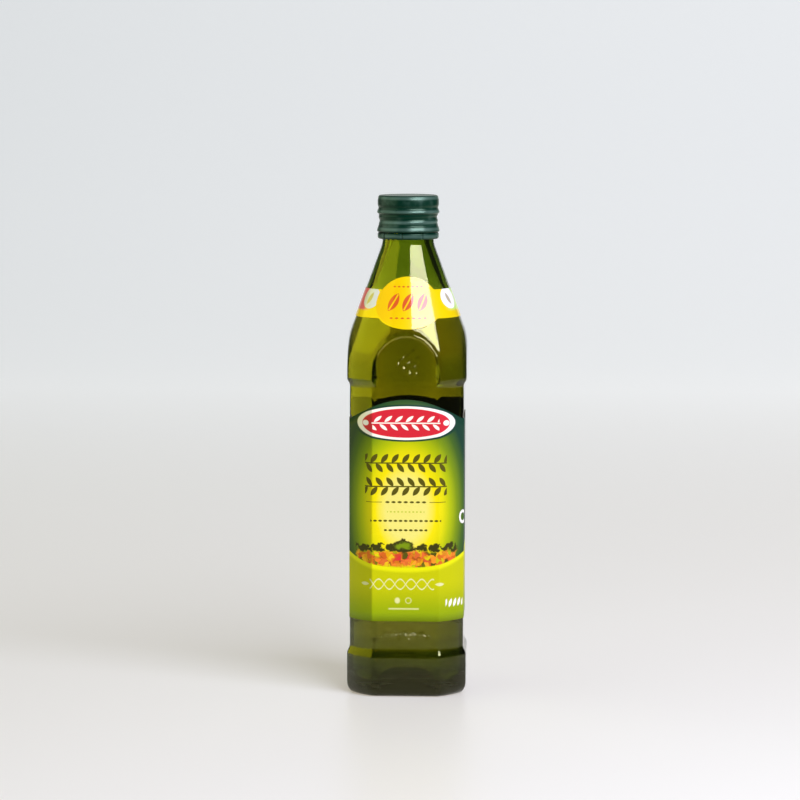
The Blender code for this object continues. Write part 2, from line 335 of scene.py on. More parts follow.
@dataclass(frozen=True)
class LacquerFinish:
    """Satin lacquer over rolled metal, with a faint grain round the piece.

    Attributes:
        name: Name of the material.
        colour: Colour of the lacquer.
        wear_and_highlight_colour: Colour where it has been rubbed, and of the painted highlight on the
            crests.
        crests: Heights of the beads' crests, where it has been stretched thin and is painted lighter as a
            highlight.
        crest_reach: Distances from a crest at which its rubbing and painted highlight start and are full.
        crest_wear_and_highlight: Even part of that rubbing and painted highlight, and the part that comes in
            clouds.
        cloud_wear: How far the clouds are rubbed elsewhere.
        grain: Cells a metre of the grain, by axis.
        roughness: How satin it is.
        metallic: How much of the metal shows through.
        gloss: How strong its gloss is.
        sheen: Colour of what its surface mirrors.
    """

    name: str
    colour: Colour
    wear_and_highlight_colour: Colour
    crests: tuple[float, ...]
    crest_reach: Pair = (1.3, 0.2)
    crest_wear_and_highlight: Pair = (0.1, 0.4)
    cloud_wear: float = 0.15
    grain: Point = (250.0, 250.0, 5000.0)
    roughness: float = 0.31
    metallic: float = 0.25
    gloss: float = 0.38
    sheen: Colour = (0.74, 0.86, 0.58, 1.0)

    def material(self) -> bpy.types.Material:
        """Makes the material.

        Returns:
            The material.
        """
        tree = Tree(self.name)
        place = tree.object_place()
        streaks = tree.noise(1.0, 3.0, tree.vector("MULTIPLY", place, self.grain))
        clouds = tree.noise(160.0, 3.0, place)
        height = tree.axes(place)["Z"] / MM
        even, clouded = self.crest_wear_and_highlight
        wear_and_highlight = tree.fade(clouds, 0.45, 0.8) * self.cloud_wear
        # Painted highlight: the crests are painted lighter, partly as rubbed lacquer and partly as the sheen
        # of the beads.
        for crest in self.crests:
            wear_and_highlight = wear_and_highlight | (tree.fade(abs(height - crest), *self.crest_reach) * (even + clouds * clouded))
        return tree.finish({
            "Base Color": tree.mix(wear_and_highlight, self.colour, self.wear_and_highlight_colour),
            "Roughness": self.roughness + (streaks - 0.5) * 0.12 + (clouds - 0.5) * 0.1,
            "Metallic": self.metallic,
            "Specular Tint": self.sheen,
            "Specular IOR Level": self.gloss,
            "Normal": tree.bump(streaks, 0.01, 0.5),
        })


@dataclass(frozen=True)
class PaperFinish:
    """Plain paper or board, such as the back of a label.

    Attributes:
        name: Name of the material.
        colour: Its colour.
        dip: How dark it is between its fibres.
        roughness: How dull it is.
    """

    name: str
    colour: Colour
    dip: float = 0.9
    roughness: float = 0.7

    def material(self) -> bpy.types.Material:
        """Makes the material.

        Returns:
            The material.
        """
        tree = Tree(self.name)
        fibres = tree.noise(2500.0, 4.0)
        darker = (*(self.dip * c for c in self.colour[:3]), 1.0)
        return tree.finish({
            "Base Color": tree.mix(fibres, darker, self.colour),
            "Roughness": self.roughness,
            "Normal": tree.bump(fibres, 0.01),
        })


class Ink(Enum):
    """The printing inks."""

    FOREST = shade(26, 62, 44)
    MOSSY = shade(66, 98, 30)
    LEAF = shade(116, 142, 16)
    LIME = shade(170, 184, 6)
    SUN = shade(212, 207, 6)
    GOLD = shade(233, 218, 8)
    PALE = shade(230, 222, 114)
    RED = shade(205, 40, 52)
    CREAM = shade(246, 244, 226)
    OLIVE = shade(84, 80, 18)
    DARK = shade(58, 56, 16)
    ORANGE = shade(244, 158, 40)
    EMBER = shade(198, 84, 30)
    FIELD = shade(189, 192, 3)
    FIELD_LOW = shade(138, 162, 4)
    BORDER = shade(222, 224, 10)
    SHELL = shade(218, 220, 150)
    # A white painted bluish, to offset the yellow light from the left on the sticker's left roundel.
    WHITE_COOLED_FOR_YELLOW_LIGHT = shade(196, 202, 255)
    YELLOW = shade(224, 197, 2)
    AMBER = shade(220, 166, 8)
    TOMATO = shade(200, 84, 36)
    ROSE = shade(205, 100, 150)
    SPRING = shade(190, 224, 110)
    WHITE = shade(244, 244, 240)
    MOSS = shade(176, 170, 132)


@dataclass(frozen=True)
class LeafRow:
    """A printed row of leaves, all alike.

    Attributes:
        origin: Middle of one of the leaves.
        pitch: Distance between two of them.
        leaf: Length and width of a leaf.
        tilt: Degrees that each is turned.
        strip: Centre and half sizes of the strip that the row fills.
    """

    origin: Pair
    pitch: float
    leaf: Pair
    tilt: float
    strip: tuple[Pair, Pair]


@dataclass(frozen=True)
class Sprig:
    """A printed sprig that lies flat: a stem with a row of leaves above it and one below.

    Attributes:
        height: Height of the stem.
        shifts: How far right of the middle an upper leaf and a lower leaf are.
        rise: Distance from the stem to the middle of a leaf.
        leaf: Length and width of a leaf.
        tilt: Degrees that the upper leaves are turned, and the lower ones the other way.
        reach: Half width of the two rows, and how far they reach from the stem.
        stem: Half length and half thickness of the stem.
        pitch: Distance between two leaves of a row.
    """

    height: float
    shifts: Pair
    rise: float
    leaf: Pair
    tilt: float
    reach: Pair
    stem: Pair
    pitch: float = 5.4


class Press:
    """Draws printed motifs on a flat place, whose X and Y are millimetres across and up the print."""

    SOFT = 0.12
    FAR = 1000.0

    def __init__(self, place: Wire, ground: Wire) -> None:
        """Starts a print.

        Args:
            place: The place on it.
            ground: The colour of its ground.
        """
        self.tree = place.tree
        self.place = place
        self.colour = ground

    def print(self, ink: Ink, distance: Wire, soft: float = SOFT) -> None:
        """Lays an ink wherever the distance to a motif's outline is below 0."""
        self.colour = self.tree.mix(self.tree.fade(distance, soft, -soft), self.colour, ink.value)

    def oval(self, centre: Pair, size: Pair) -> Wire:
        """Distance to an oval of these half sizes."""
        return (self.tree.length(self.tree.local(self.place, centre, size=size)) - 1) * min(size)

    def bar(self, centre: Pair, size: Pair, tilt: float = 0.0) -> Wire:
        """Distance to a bar.

        Args:
            centre: Its centre.
            size: Its half sizes.
            tilt: Degrees that it is turned.

        Returns:
            The distance to its outline.
        """
        folded = self.tree.vector("ABSOLUTE", self.tree.local(self.place, centre, tilt))
        over = self.tree.axes(self.tree.vector("SUBTRACT", folded, (*size, 0.0)))
        return over["X"] | over["Y"]

    def leaf(self, centre: Pair, size: Pair, tilt: float = 0.0) -> Wire:
        """Distance to a pointed leaf of this length and width, which lies along X before it is turned."""
        return self._lens(self.tree.local(self.place, centre, tilt), size)

    def _lens(self, place: Wire, size: Pair) -> Wire:
        """Distance to the shape that two arcs make along X.

        Args:
            place: The place as seen from its middle.
            size: Its length and width.

        Returns:
            The distance to its outline.
        """
        length, width = size
        lift = (length**2 - width**2) / (4 * width)
        lifted = self.tree.vector("ADD", self.tree.vector("ABSOLUTE", place), (0.0, lift, 0.0))
        return self.tree.length(lifted) - (lift + width / 2)

    def leaves(self, origin: Pair, pitch: float, leaf: Pair, tilt: float) -> Wire:
        """Distance to an endless row of leaves.

        Args:
            origin: Middle of one of them.
            pitch: Distance between two of them.
            leaf: Length and width of a leaf.
            tilt: Degrees that each is turned.

        Returns:
            The distance to the nearest outline.
        """
        reach = (pitch / 2, self.FAR, self.FAR)
        moved = self.tree.vector("SUBTRACT", self.place, (*origin, 0.0))
        cell = self.tree.vector("WRAP", moved, reach, tuple(-c for c in reach))
        return self._lens(self.tree.local(cell, (0.0, 0.0), tilt), leaf)

    def row(self, row: LeafRow) -> Wire:
        """Distance to a row of leaves."""
        return self.leaves(row.origin, row.pitch, row.leaf, row.tilt) | self.bar(*row.strip)

    def sprig(self, sprig: Sprig) -> Wire:
        """Distance to a sprig.

        Args:
            sprig: The sprig.

        Returns:
            The distance to its outline.
        """
        upper, lower = (
            self.leaves((shift, sprig.height + side * sprig.rise), sprig.pitch, sprig.leaf, side * sprig.tilt)
            for shift, side in zip(sprig.shifts, (1, -1))
        )
        inside = self.bar((0.0, sprig.height), sprig.reach)
        return self.bar((0.0, sprig.height), sprig.stem) & ((upper & lower) | inside)


@dataclass(frozen=True)
class LabelPrint:
    """The wrap label's print, by millimetres round the bottle from the middle of the front and by height.

    Attributes:
        name: Name of the material.
        glow: Middle height of the yellow glow.
        glow_size: Half sizes of the glow, where it has turned to lime.
        glow_stops: Inks of the glow, by half the distance from its middle.
        sprigs: The two large sprigs.
        rows: The rows of small leaves.
        faint_row: A fainter row between them.
        wander: How far the outlines of the fruit and its leaves wander.
        heap: Centre and half sizes of the heap of fruit.
        heap_inks: Inks of the fruit.
        leaf_rows: The rows of dark leaves on the heap.
        border: Height at which the lime field starts in the middle of the front.
        border_rise: How much higher it starts a given way round.
        border_reach: That way round.
        plaque: Middle height of the red plaque.
        plaque_size: Its half sizes.
        plaque_sprig: The sprig on it.
        twist: Height of the twisted line on the lime field.
        twist_size: Length of one twist and its half height.
        side_row: The white leaves round the right corner.
        left_painted_shade: Painted shade from the left corner on: the share of each colour that is kept
            there.
        fibre: Colour of the fibres that show through.
    """

    name: str = "label_print"
    glow: float = 97.0
    glow_size: Pair = (25.0, 38.0)
    glow_stops: tuple[tuple[float, Ink], ...] = (
        (0.0, Ink.PALE),
        (0.20, Ink.PALE),
        (0.31, Ink.GOLD),
        (0.39, Ink.SUN),
        (0.47, Ink.LIME),
        (0.57, Ink.LEAF),
        (0.67, Ink.MOSSY),
        (0.77, Ink.FOREST),
    )
    sprigs: tuple[Sprig, ...] = (
        Sprig(120.6, (0.0, 2.7), 2.4, (5.8, 2.5), 52.0, (21.6, 5.4), (21.6, 0.34)),
        Sprig(108.6, (2.7, 5.4), 2.4, (5.8, 2.5), -52.0, (21.6, 5.4), (21.6, 0.34)),
    )
    rows: tuple[LeafRow, ...] = (
        LeafRow((0.0, 100.6), 3.1, (2.4, 1.1), 0.0, ((0.0, 100.6), (11.0, 1.5))),
        LeafRow((0.0, 91.0), 2.6, (2.1, 1.1), 0.0, ((0.0, 91.0), (18.2, 1.5))),
        LeafRow((0.0, 86.2), 2.6, (2.1, 1.1), 0.0, ((0.0, 86.2), (11.0, 1.5))),
    )
    faint_row: LeafRow = LeafRow((0.0, 95.6), 1.9, (1.1, 0.6), 0.0, ((0.0, 95.6), (9.5, 1.0)))
    wander: float = 5.0
    heap: tuple[Pair, Pair] = ((0.0, 71.4), (27.6, 3.9))
    heap_inks: tuple[Ink, ...] = (
        Ink.ORANGE, Ink.EMBER, Ink.AMBER, Ink.RED, Ink.ORANGE, Ink.SUN, Ink.OLIVE,
    )
    leaf_rows: tuple[LeafRow, ...] = (
        LeafRow((0.0, 77.6), 7.4, (7.2, 3.0), 14.0, ((0.0, 77.2), (28.5, 3.4))),
        LeafRow((3.3, 76.4), 5.6, (5.4, 1.9), -22.0, ((0.0, 77.2), (28.5, 3.4))),
    )
    border: float = 66.8
    border_rise: float = 5.8
    border_reach: float = 31.0
    plaque: float = 141.0
    plaque_size: Pair = (27.0, 8.6)
    plaque_sprig: Sprig = Sprig(141.0, (1.9, -0.6), 2.1, (5.0, 1.7), 38.0, (17.0, 4.6), (17.5, 0.3))
    twist: float = 58.4
    twist_size: Pair = (11.0, 2.6)
    side_row: LeafRow = LeafRow((24.0, 48.4), 3.1, (4.6, 1.8), 68.0, ((27.2, 48.4), (6.2, 3.0)))
    left_painted_shade: Point = (0.62, 0.63, 0.95)
    fibre: Colour = shade(16, 30, 16)

    def material(self) -> bpy.types.Material:
        """Makes the material.

        Returns:
            The material.
        """
        tree = Tree(self.name)
        place = tree.print_place()
        press = Press(place, self._ground(place))
        self._lines(press)
        self._fruit(press)
        self._lime_field(press)
        self._plaque(press)
        self._marks(press)
        fibres = tree.noise(1800.0, 3.0)
        across = tree.axes(place)["X"]
        # Painted shade: the print is darkened round the left corner and side, which face away from the key
        # light.
        left = tree.fade(across, -16.6, -17.8) * tree.fade(across, -62.0, -42.0)
        colour = tree.mix(left, press.colour, tree.vector("MULTIPLY", press.colour, self.left_painted_shade))
        return tree.finish({
            "Base Color": tree.mix(fibres * 0.06, colour, self.fibre),
            "Roughness": 0.42 + (fibres - 0.5) * 0.1,
            "Specular IOR Level": 0.12,
            "Normal": tree.bump(fibres, 0.006),
        })

    def _ground(self, place: Wire) -> Wire:
        """The yellow glow that turns to lime and then to dark green outwards.

        Args:
            place: The place on the label.

        Returns:
            Its colour there.
        """
        tree = place.tree
        moved = tree.vector("SUBTRACT", place, (0.0, self.glow, 0.0))
        reach = tree.length(tree.vector("DIVIDE", moved, (*self.glow_size, 1.0)))
        return tree.ramp(reach / 2, [(stop, ink.value) for stop, ink in self.glow_stops])

    def _lines(self, press: Press) -> None:
        """Prints the sprigs, the rows of small leaves and the thin rule that one row interrupts.

        Args:
            press: The press.
        """
        for sprig in self.sprigs:
            press.print(Ink.OLIVE, press.sprig(sprig))
        for x in (-16.5, 16.5):
            press.print(Ink.OLIVE, press.bar((x, 100.6), (4.4, 0.16)))
        for row in self.rows:
            press.print(Ink.OLIVE, press.row(row))
        press.print(Ink.LIME, press.row(self.faint_row))

    def _fruit(self, press: Press) -> None:
        """Prints dark leaves over a heap of orange and red fruit, with loose outlines.

        Args:
            press: The press.
        """
        tree = press.tree
        wander = tree.noise(0.35, 2.0, press.place)["Color"]
        middle = tree.vector("SUBTRACT", press.place, (self.wander / 2, self.wander / 2, 0.0))
        place = tree.vector("MULTIPLY_ADD", wander, (self.wander, self.wander, 0.0), middle)
        loose = Press(place, press.colour)
        cells = {"Vector": place, "Scale": 0.42, "Randomness": 1.0}
        fruit = tree.add("ShaderNodeTexVoronoi", {"feature": "F1"}, cells)
        chance = tree.add("ShaderNodeSeparateColor", {}, {"Color": fruit["Color"]})
        stops = [(k / len(self.heap_inks), ink.value) for k, ink in enumerate(self.heap_inks)]
        inks = tree.ramp(chance, stops)
        inks = tree.mix(tree.fade(fruit["Distance"], 0.45, 0.8) * 0.7, inks, Ink.EMBER.value)
        loose.colour = tree.mix(tree.fade(loose.bar(*self.heap), 0.9, -0.9), loose.colour, inks)
        for row in self.leaf_rows:
            loose.print(Ink.DARK, loose.row(row), 0.4)
        loose.print(Ink.DARK, loose.oval((-1.5, 78.0), (5.8, 3.4)), 0.4)
        loose.print(Ink.LEAF, loose.oval((-1.4, 78.4), (3.8, 1.6)), 0.7)
        press.colour = loose.colour

    def _lime_field(self, press: Press) -> None:
        """Prints the lime field below a curved border, darker towards the foot.

        Args:
            press: The press.
        """
        tree = press.tree
        axes = tree.axes(press.place)
        border = self.border + (axes["X"] / self.border_reach) ** 2 * self.border_rise
        above = axes["Y"] - (border & (self.border + self.border_rise * 1.6))
        field = tree.mix(tree.fade(axes["Y"], 61.0, 40.0), Ink.FIELD.value, Ink.FIELD_LOW.value)
        field = tree.mix(tree.fade(above, -3.2, -1.2), field, Ink.BORDER.value)
        press.colour = tree.mix(tree.fade(above, 0.25, -0.25), press.colour, field)

    def _plaque(self, press: Press) -> None:
        """Prints the red plaque with its cream rim, sprig and two olives.

        Args:
            press: The press.
        """
        outline = press.oval((0.0, self.plaque), self.plaque_size)
        press.print(Ink.FOREST, outline - 0.9, 0.3)
        press.print(Ink.CREAM, outline)
        press.print(Ink.RED, outline + 1.15)
        press.print(Ink.CREAM, press.sprig(self.plaque_sprig))
        for x in (-21.2, 21.2):
            press.print(Ink.CREAM, press.oval((x, self.plaque), (1.9, 1.4)))

    def _marks(self, press: Press) -> None:
        """Prints the twisted line, rings and bar on the lime field, and the marks round the right corner.

        Args:
            press: The press.
        """
        axes = press.tree.axes(press.place)
        length, half_height = self.twist_size
        wave = (axes["X"] * (2 * math.pi / length)).sine()
        for side in (-1, 1):
            strand = abs(axes["Y"] - self.twist - wave * (half_height * side)) - 0.36
            press.print(Ink.SHELL, strand | press.bar((-2.0, self.twist), (16.5, 5.0)))
        for x in (17.5, -21.5):
            press.print(Ink.SHELL, press.leaf((x, self.twist), (5.0, 1.7)))
        press.print(Ink.SHELL, press.oval((-4.2, 50.0), (1.3, 1.5)), 0.4)
        press.print(Ink.SHELL, abs(press.oval((1.4, 50.0), (1.4, 1.4))) - 0.15, 0.4)
        press.print(Ink.SHELL, press.bar((-1.0, 45.7), (7.6, 0.3)), 0.4)
        press.print(Ink.CREAM, press.row(self.side_row), 0.3)
        press.print(Ink.CREAM, abs(press.oval((33.4, 92.0), (2.4, 2.8))) - 0.6, 0.3)


@dataclass(frozen=True)
class StickerPrint:
    """The neck sticker's print, by millimetres from its middle.

    Attributes:
        name: Name of the material.
        middle: Height of the oval's middle.
        oval: Half sizes of the oval.
        drop: Length and width of the tomato drops.
        drop_pitch: Distance between two of them.
        drop_tilt: Degrees that they are turned.
        rows: The rows of dashes above and below them.
    """

    name: str = "sticker_print"
    middle: float = 0.8
    oval: Pair = (17.5, 13.1)
    drop: Pair = (10.0, 4.8)
    drop_pitch: float = 7.4
    drop_tilt: float = 62.0
    rows: tuple[LeafRow, ...] = (
        LeafRow((0.0, 8.0), 2.6, (1.7, 0.8), 0.0, ((0.0, 8.0), (8.5, 1.0))),
        LeafRow((0.0, -7.6), 2.6, (1.7, 0.8), 0.0, ((0.0, -7.6), (8.5, 1.0))),
    )

    def material(self) -> bpy.types.Material:
        """Makes the material.

        Returns:
            The material.
        """
        tree = Tree(self.name)
        place = tree.print_place()
        press = Press(place, self._wings(place))
        self._roundels(press)
        self._oval(press)
        return tree.finish({
            "Base Color": press.colour,
            "Roughness": 0.3,
            "Specular IOR Level": 0.1,
            "Coat Weight": 0.6,
            "Coat Roughness": 0.05,
        })

    def _wings(self, place: Wire) -> Wire:
        """Yellow wings with a rose end on the left and a spring green end on the right.

        Args:
            place: The place on the sticker.

        Returns:
            Their colour there.
        """
        tree = place.tree
        axes = tree.axes(place)
        colour = tree.mix(tree.fade(axes["X"], -19.0, -27.0), Ink.YELLOW.value, Ink.ROSE.value)
        colour = tree.mix(tree.fade(axes["X"], 20.0, 27.0), colour, Ink.SPRING.value)
        return tree.mix(tree.fade(axes["Y"], -3.6, -5.0), colour, Ink.YELLOW.value)

    def _roundels(self, press: Press) -> None:
        """Prints a pale roundel with a leaf in it on each wing; the left one is painted bluish to offset the
        yellow light that falls on it from the left.

        Args:
            press: The press.
        """
        for x, tilt, ink in ((-22.2, 60.0, Ink.WHITE_COOLED_FOR_YELLOW_LIGHT), (25.4, 120.0, Ink.WHITE)):
            press.print(ink, press.oval((x, 1.9), (6.4, 5.4)), 0.2)
            press.print(Ink.MOSS, press.leaf((x - 0.6, 1.6), (7.0, 2.8), tilt), 0.4)

    def _oval(self, press: Press) -> None:
        """Prints the yellow oval with three tomato drops between two rows of dashes.

        Args:
            press: The press.
        """
        tree = press.tree
        outline = press.oval((0.0, self.middle), self.oval)
        press.print(Ink.YELLOW, outline)
        amber = tree.fade(press.oval((-16.0, self.middle), (14.0, 14.0)), 6.0, -8.0)
        inside = tree.fade(outline, 0.1, -0.1)
        press.colour = tree.mix(amber * inside * 0.6, press.colour, Ink.AMBER.value)
        for k in (-1, 0, 1):
            centre = (self.drop_pitch * k, 0.3)
            press.print(Ink.TOMATO, press.leaf(centre, self.drop, self.drop_tilt))
            press.print(Ink.YELLOW, press.bar(centre, (4.4, 0.35), self.drop_tilt))
        for row in self.rows:
            press.print(Ink.EMBER, press.row(row))


@dataclass(frozen=True)
class StageFinish:
    """The pale sheet that the bottle stands on, which glows a little, more so far behind the bottle.

    Attributes:
        name: Name of the material.
        colour: Colour of the sheet.
        near: Its own glow where the bottle stands.
        far: Its own glow behind.
        run: Metres behind the bottle at which its glow starts and ends to change.
        side: How much brighter it glows a metre to the right.
        roughness: How dull its gloss is.
        gloss: How strong its gloss is.
    """

    name: str = "pale_sheet"
    colour: Colour = (0.52, 0.56, 0.485, 1.0)
    near: Colour = (0.28, 0.235, 0.185, 1.0)
    far: Colour = (0.55, 0.555, 0.585, 1.0)
    run: Pair = (-0.5, 2.4)
    side: float = 0.16
    roughness: float = 0.4
    gloss: float = 0.25

    def material(self) -> bpy.types.Material:
        """Makes the material.

        Returns:
            The material.
        """
        tree = Tree(self.name)
        axes = tree.axes(tree.object_place())
        glow = tree.mix(tree.fade(axes["Y"], *self.run), self.near, self.far)
        brighter = {0: glow, "Scale": 1 + axes["X"] * self.side}
        return tree.finish({
            "Base Color": self.colour,
            "Roughness": self.roughness,
            "Specular IOR Level": self.gloss,
            "Emission Color": tree.add("ShaderNodeVectorMath", {"operation": "SCALE"}, brighter),
            "Emission Strength": 1.0,
        })


# Shapes


def soft_corner(x: np.ndarray, reach: float) -> np.ndarray:
    """0 where x is well below 0 and x where it is well above, joined by a curve within this reach of 0."""
    inside = (np.clip(x, -reach, reach) + reach) ** 2 / (4 * reach)
    return np.where(np.abs(x) < reach, inside, np.maximum(x, 0.0))


def soft_min(a: np.ndarray, b: np.ndarray, reach: np.ndarray | float) -> np.ndarray:
    """The smaller of two distances, with the crease between them rounded over this difference."""
    return a - soft_corner(a - b, reach)


def ramp(x: np.ndarray, start: float, end: float) -> np.ndarray:
    """0 up to start and 1 from end on, straight between them; end may be below start."""
    return np.clip((x - start) / (end - start), 0.0, 1.0)


def soft_ramp(x: np.ndarray, low: float, high: float, reach: float) -> np.ndarray:
    """0 below low and 1 above high, straight between them and rounded at both ends."""
    return (soft_corner(x - low, reach) - soft_corner(x - high, reach)) / (high - low)


def quarter_round(share: np.ndarray) -> np.ndarray:
    """How far a quarter circle of radius 1 has drawn in at this share of its way."""
    return 1 - np.sqrt(1 - share**2)


def from_middle(turn: np.ndarray, every: float) -> np.ndarray:
    """Turn from the nearest of the middles that come every so many degrees."""
    return (turn + every / 2) % every - every / 2


def spaced(start: float, end: float, count: int, peaks: list[Point]) -> np.ndarray:
    """Stations along a line, closer together at its peaks.

    Args:
        start: First station.
        end: Last station.
        count: How many stations.
        peaks: Middle, half width and extra weight of each stretch that needs more of them.

    Returns:
        The stations in order.
    """
    fine = np.linspace(start, end, 40001)
    weight = np.ones_like(fine)
    for middle, half, extra in peaks:
        weight += extra / (1 + (np.abs(fine - middle) / half) ** 6)
    total = np.concatenate(([0.0], np.cumsum((weight[1:] + weight[:-1]) / 2)))
    return np.interp(np.linspace(0, total[-1], count), total, fine)


def smooth_profile(points: list[Pair], rounds: int) -> np.ndarray:
    """Rounds the corners of an open outline by cutting them off a few times over.

    Args:
        points: Height and radius of each corner.
        rounds: How many times the corners are cut.

    Returns:
        The heights and radii of the rounded outline.
    """
    line = np.array(points, float)
    for _ in range(rounds):
        near = 0.75 * line[:-1] + 0.25 * line[1:]
        far = 0.25 * line[:-1] + 0.75 * line[1:]
        cut = np.stack([near, far], axis=1).reshape(-1, 2)
        line = np.vstack([line[:1], cut, line[-1:]])
    return line


def ring_points(reach: np.ndarray, turns: np.ndarray, z: np.ndarray | float) -> np.ndarray:
    """Points from their distance to the axis, turn in degrees and height, all brought to one shape."""
    reach, turns, z = np.broadcast_arrays(reach, np.radians(turns), z)
    return np.stack([reach * np.sin(turns), -reach * np.cos(turns), z], axis=-1)


def add_mesh(
    name: str, points: np.ndarray, faces: list[list[int]], *materials: bpy.types.Material
) -> bpy.types.Object:
    """Adds a smooth mesh to the scene.

    Args:
        name: Its name.
        points: Its points, in millimetres.
        faces: Numbers of the points round each face.
        materials: Its materials.

    Returns:
        The object.
    """
    mesh = bpy.data.meshes.new(name)
    mesh.from_pydata((points * MM).tolist(), [], faces)
    mesh.shade_smooth()
    for material in materials:
        mesh.materials.append(material)
    piece = bpy.data.objects.new(name, mesh)
    bpy.context.scene.collection.objects.link(piece)
    return piece


@dataclass
class Skin:
    """A closed mesh over a stack of rings that all have the same number of points.

    Attributes:
        rings: Points by ring and by column, outside first, in millimetres.
        start: A point that closes the first ring.
        end: A point that closes the last ring.
        endless: Whether the last ring joins the first.
    """

    rings: np.ndarray
    start: Point | None = None
    end: Point | None = None
    endless: bool = False

    def build(self, name: str, *materials: bpy.types.Material) -> bpy.types.Object:
        """Makes the object.

        Args:
            name: The piece's name.
            materials: Its materials.

        Returns:
            The object, shaded smooth.
        """
        count, columns = self.rings.shape[:2]
        points = self.rings.reshape(-1, 3)
        low = np.arange(count if self.endless else count - 1)[:, None] * columns
        high = (low + columns) % (count * columns)
        here = np.arange(columns)[None, :]
        after = (here + 1) % columns
        quads = np.stack([low + here, low + after, high + after, high + here], axis=-1).reshape(-1, 4)
        faces = quads.tolist()
        for pole, ring, flip in ((self.start, 0, True), (self.end, count - 1, False)):
            if pole is None:
                continue
            points = np.vstack([points, [pole]])
            first = ring * columns
            for k in range(columns):
                edge = [first + k, first + (k + 1) % columns]
                faces.append([*(edge[::-1] if flip else edge), len(points) - 1])
        return add_mesh(name, points, faces, *materials)


@dataclass(frozen=True)
class Motif:
    """A raised oval of an embossed design, by millimetres across and by height.

    Attributes:
        centre: Its centre.
        size: Its half sizes.
        tilt: Degrees that it is turned.
        thickness: How far its middle stands up.
        fall: How much lower it stands a millimetre to the right, and a millimetre up.
        most: How far it stands up at most.
        steepness: How steep its rim is.
    """

    centre: Pair
    size: Pair
    tilt: float = 0.0
    thickness: float = 0.5
    fall: Pair = (0.34, 0.44)
    most: float = 1.2
    steepness: float = 5.0

    def height(self, x: np.ndarray, z: np.ndarray) -> np.ndarray:
        """A slanted facet inside the oval.

        Args:
            x: Places across.
            z: Their heights.

        Returns:
            How far the motif stands up there.
        """
        turn = math.radians(self.tilt)
        across, up = x - self.centre[0], z - self.centre[1]
        along = (across * math.cos(turn) + up * math.sin(turn)) / self.size[0]
        aside = (up * math.cos(turn) - across * math.sin(turn)) / self.size[1]
        inside = np.clip(self.steepness * (1.0 - along**2 - aside**2), 0.0, 1.0)
        return inside * np.clip(self.thickness - self.fall[0] * across - self.fall[1] * up, 0.0, self.most)


@dataclass(frozen=True)
class RaisedSprig:
    """An embossed branch: pairs of leaves along a line, and an olive at its end.

    Attributes:
        centre: Middle of the branch.
        tilt: Degrees that it is turned.
        pitch: Distance between two pairs of leaves.
        pairs: How many pairs.
        leaf: Half sizes of a leaf.
        spread: Degrees between a leaf and the branch.
        gap: Distance from the line to the root of a leaf.
        olive: Half sizes of the olive.
    """

    centre: Pair
    tilt: float
    pitch: float = 3.7
    pairs: int = 3
    leaf: Pair = (1.25, 0.62)
    spread: float = 60.0
    gap: float = 0.9
    olive: Pair = (0.8, 0.7)

    def motifs(self) -> list[Motif]:
        """Its leaves and its olive.

        Returns:
            The motifs of the branch.
        """
        spread = math.radians(self.spread)
        along, aside = self.leaf[0] * math.cos(spread), self.leaf[0] * math.sin(spread) + self.gap
        half = self.pitch * self.pairs / 2
        roots = [self.pitch * (k + 0.3) - half for k in range(self.pairs)]
        leaves = [
            Motif(self._placed(root + along, side * aside), self.leaf, self.tilt + side * self.spread)
            for root in roots
            for side in (-1, 1)
        ]
        return [*leaves, Motif(self._placed(half + self.gap, 0.0), self.olive, self.tilt)]

    def _placed(self, along: float, aside: float) -> Pair:
        """A place of the branch, turned and moved.

        Args:
            along: Distance along it from its middle.
            aside: Distance to its left.

        Returns:
            The place across and by height.
        """
        turn = math.radians(self.tilt)
        across = along * math.cos(turn) - aside * math.sin(turn)
        return self.centre[0] + across, self.centre[1] + along * math.sin(turn) + aside * math.cos(turn)


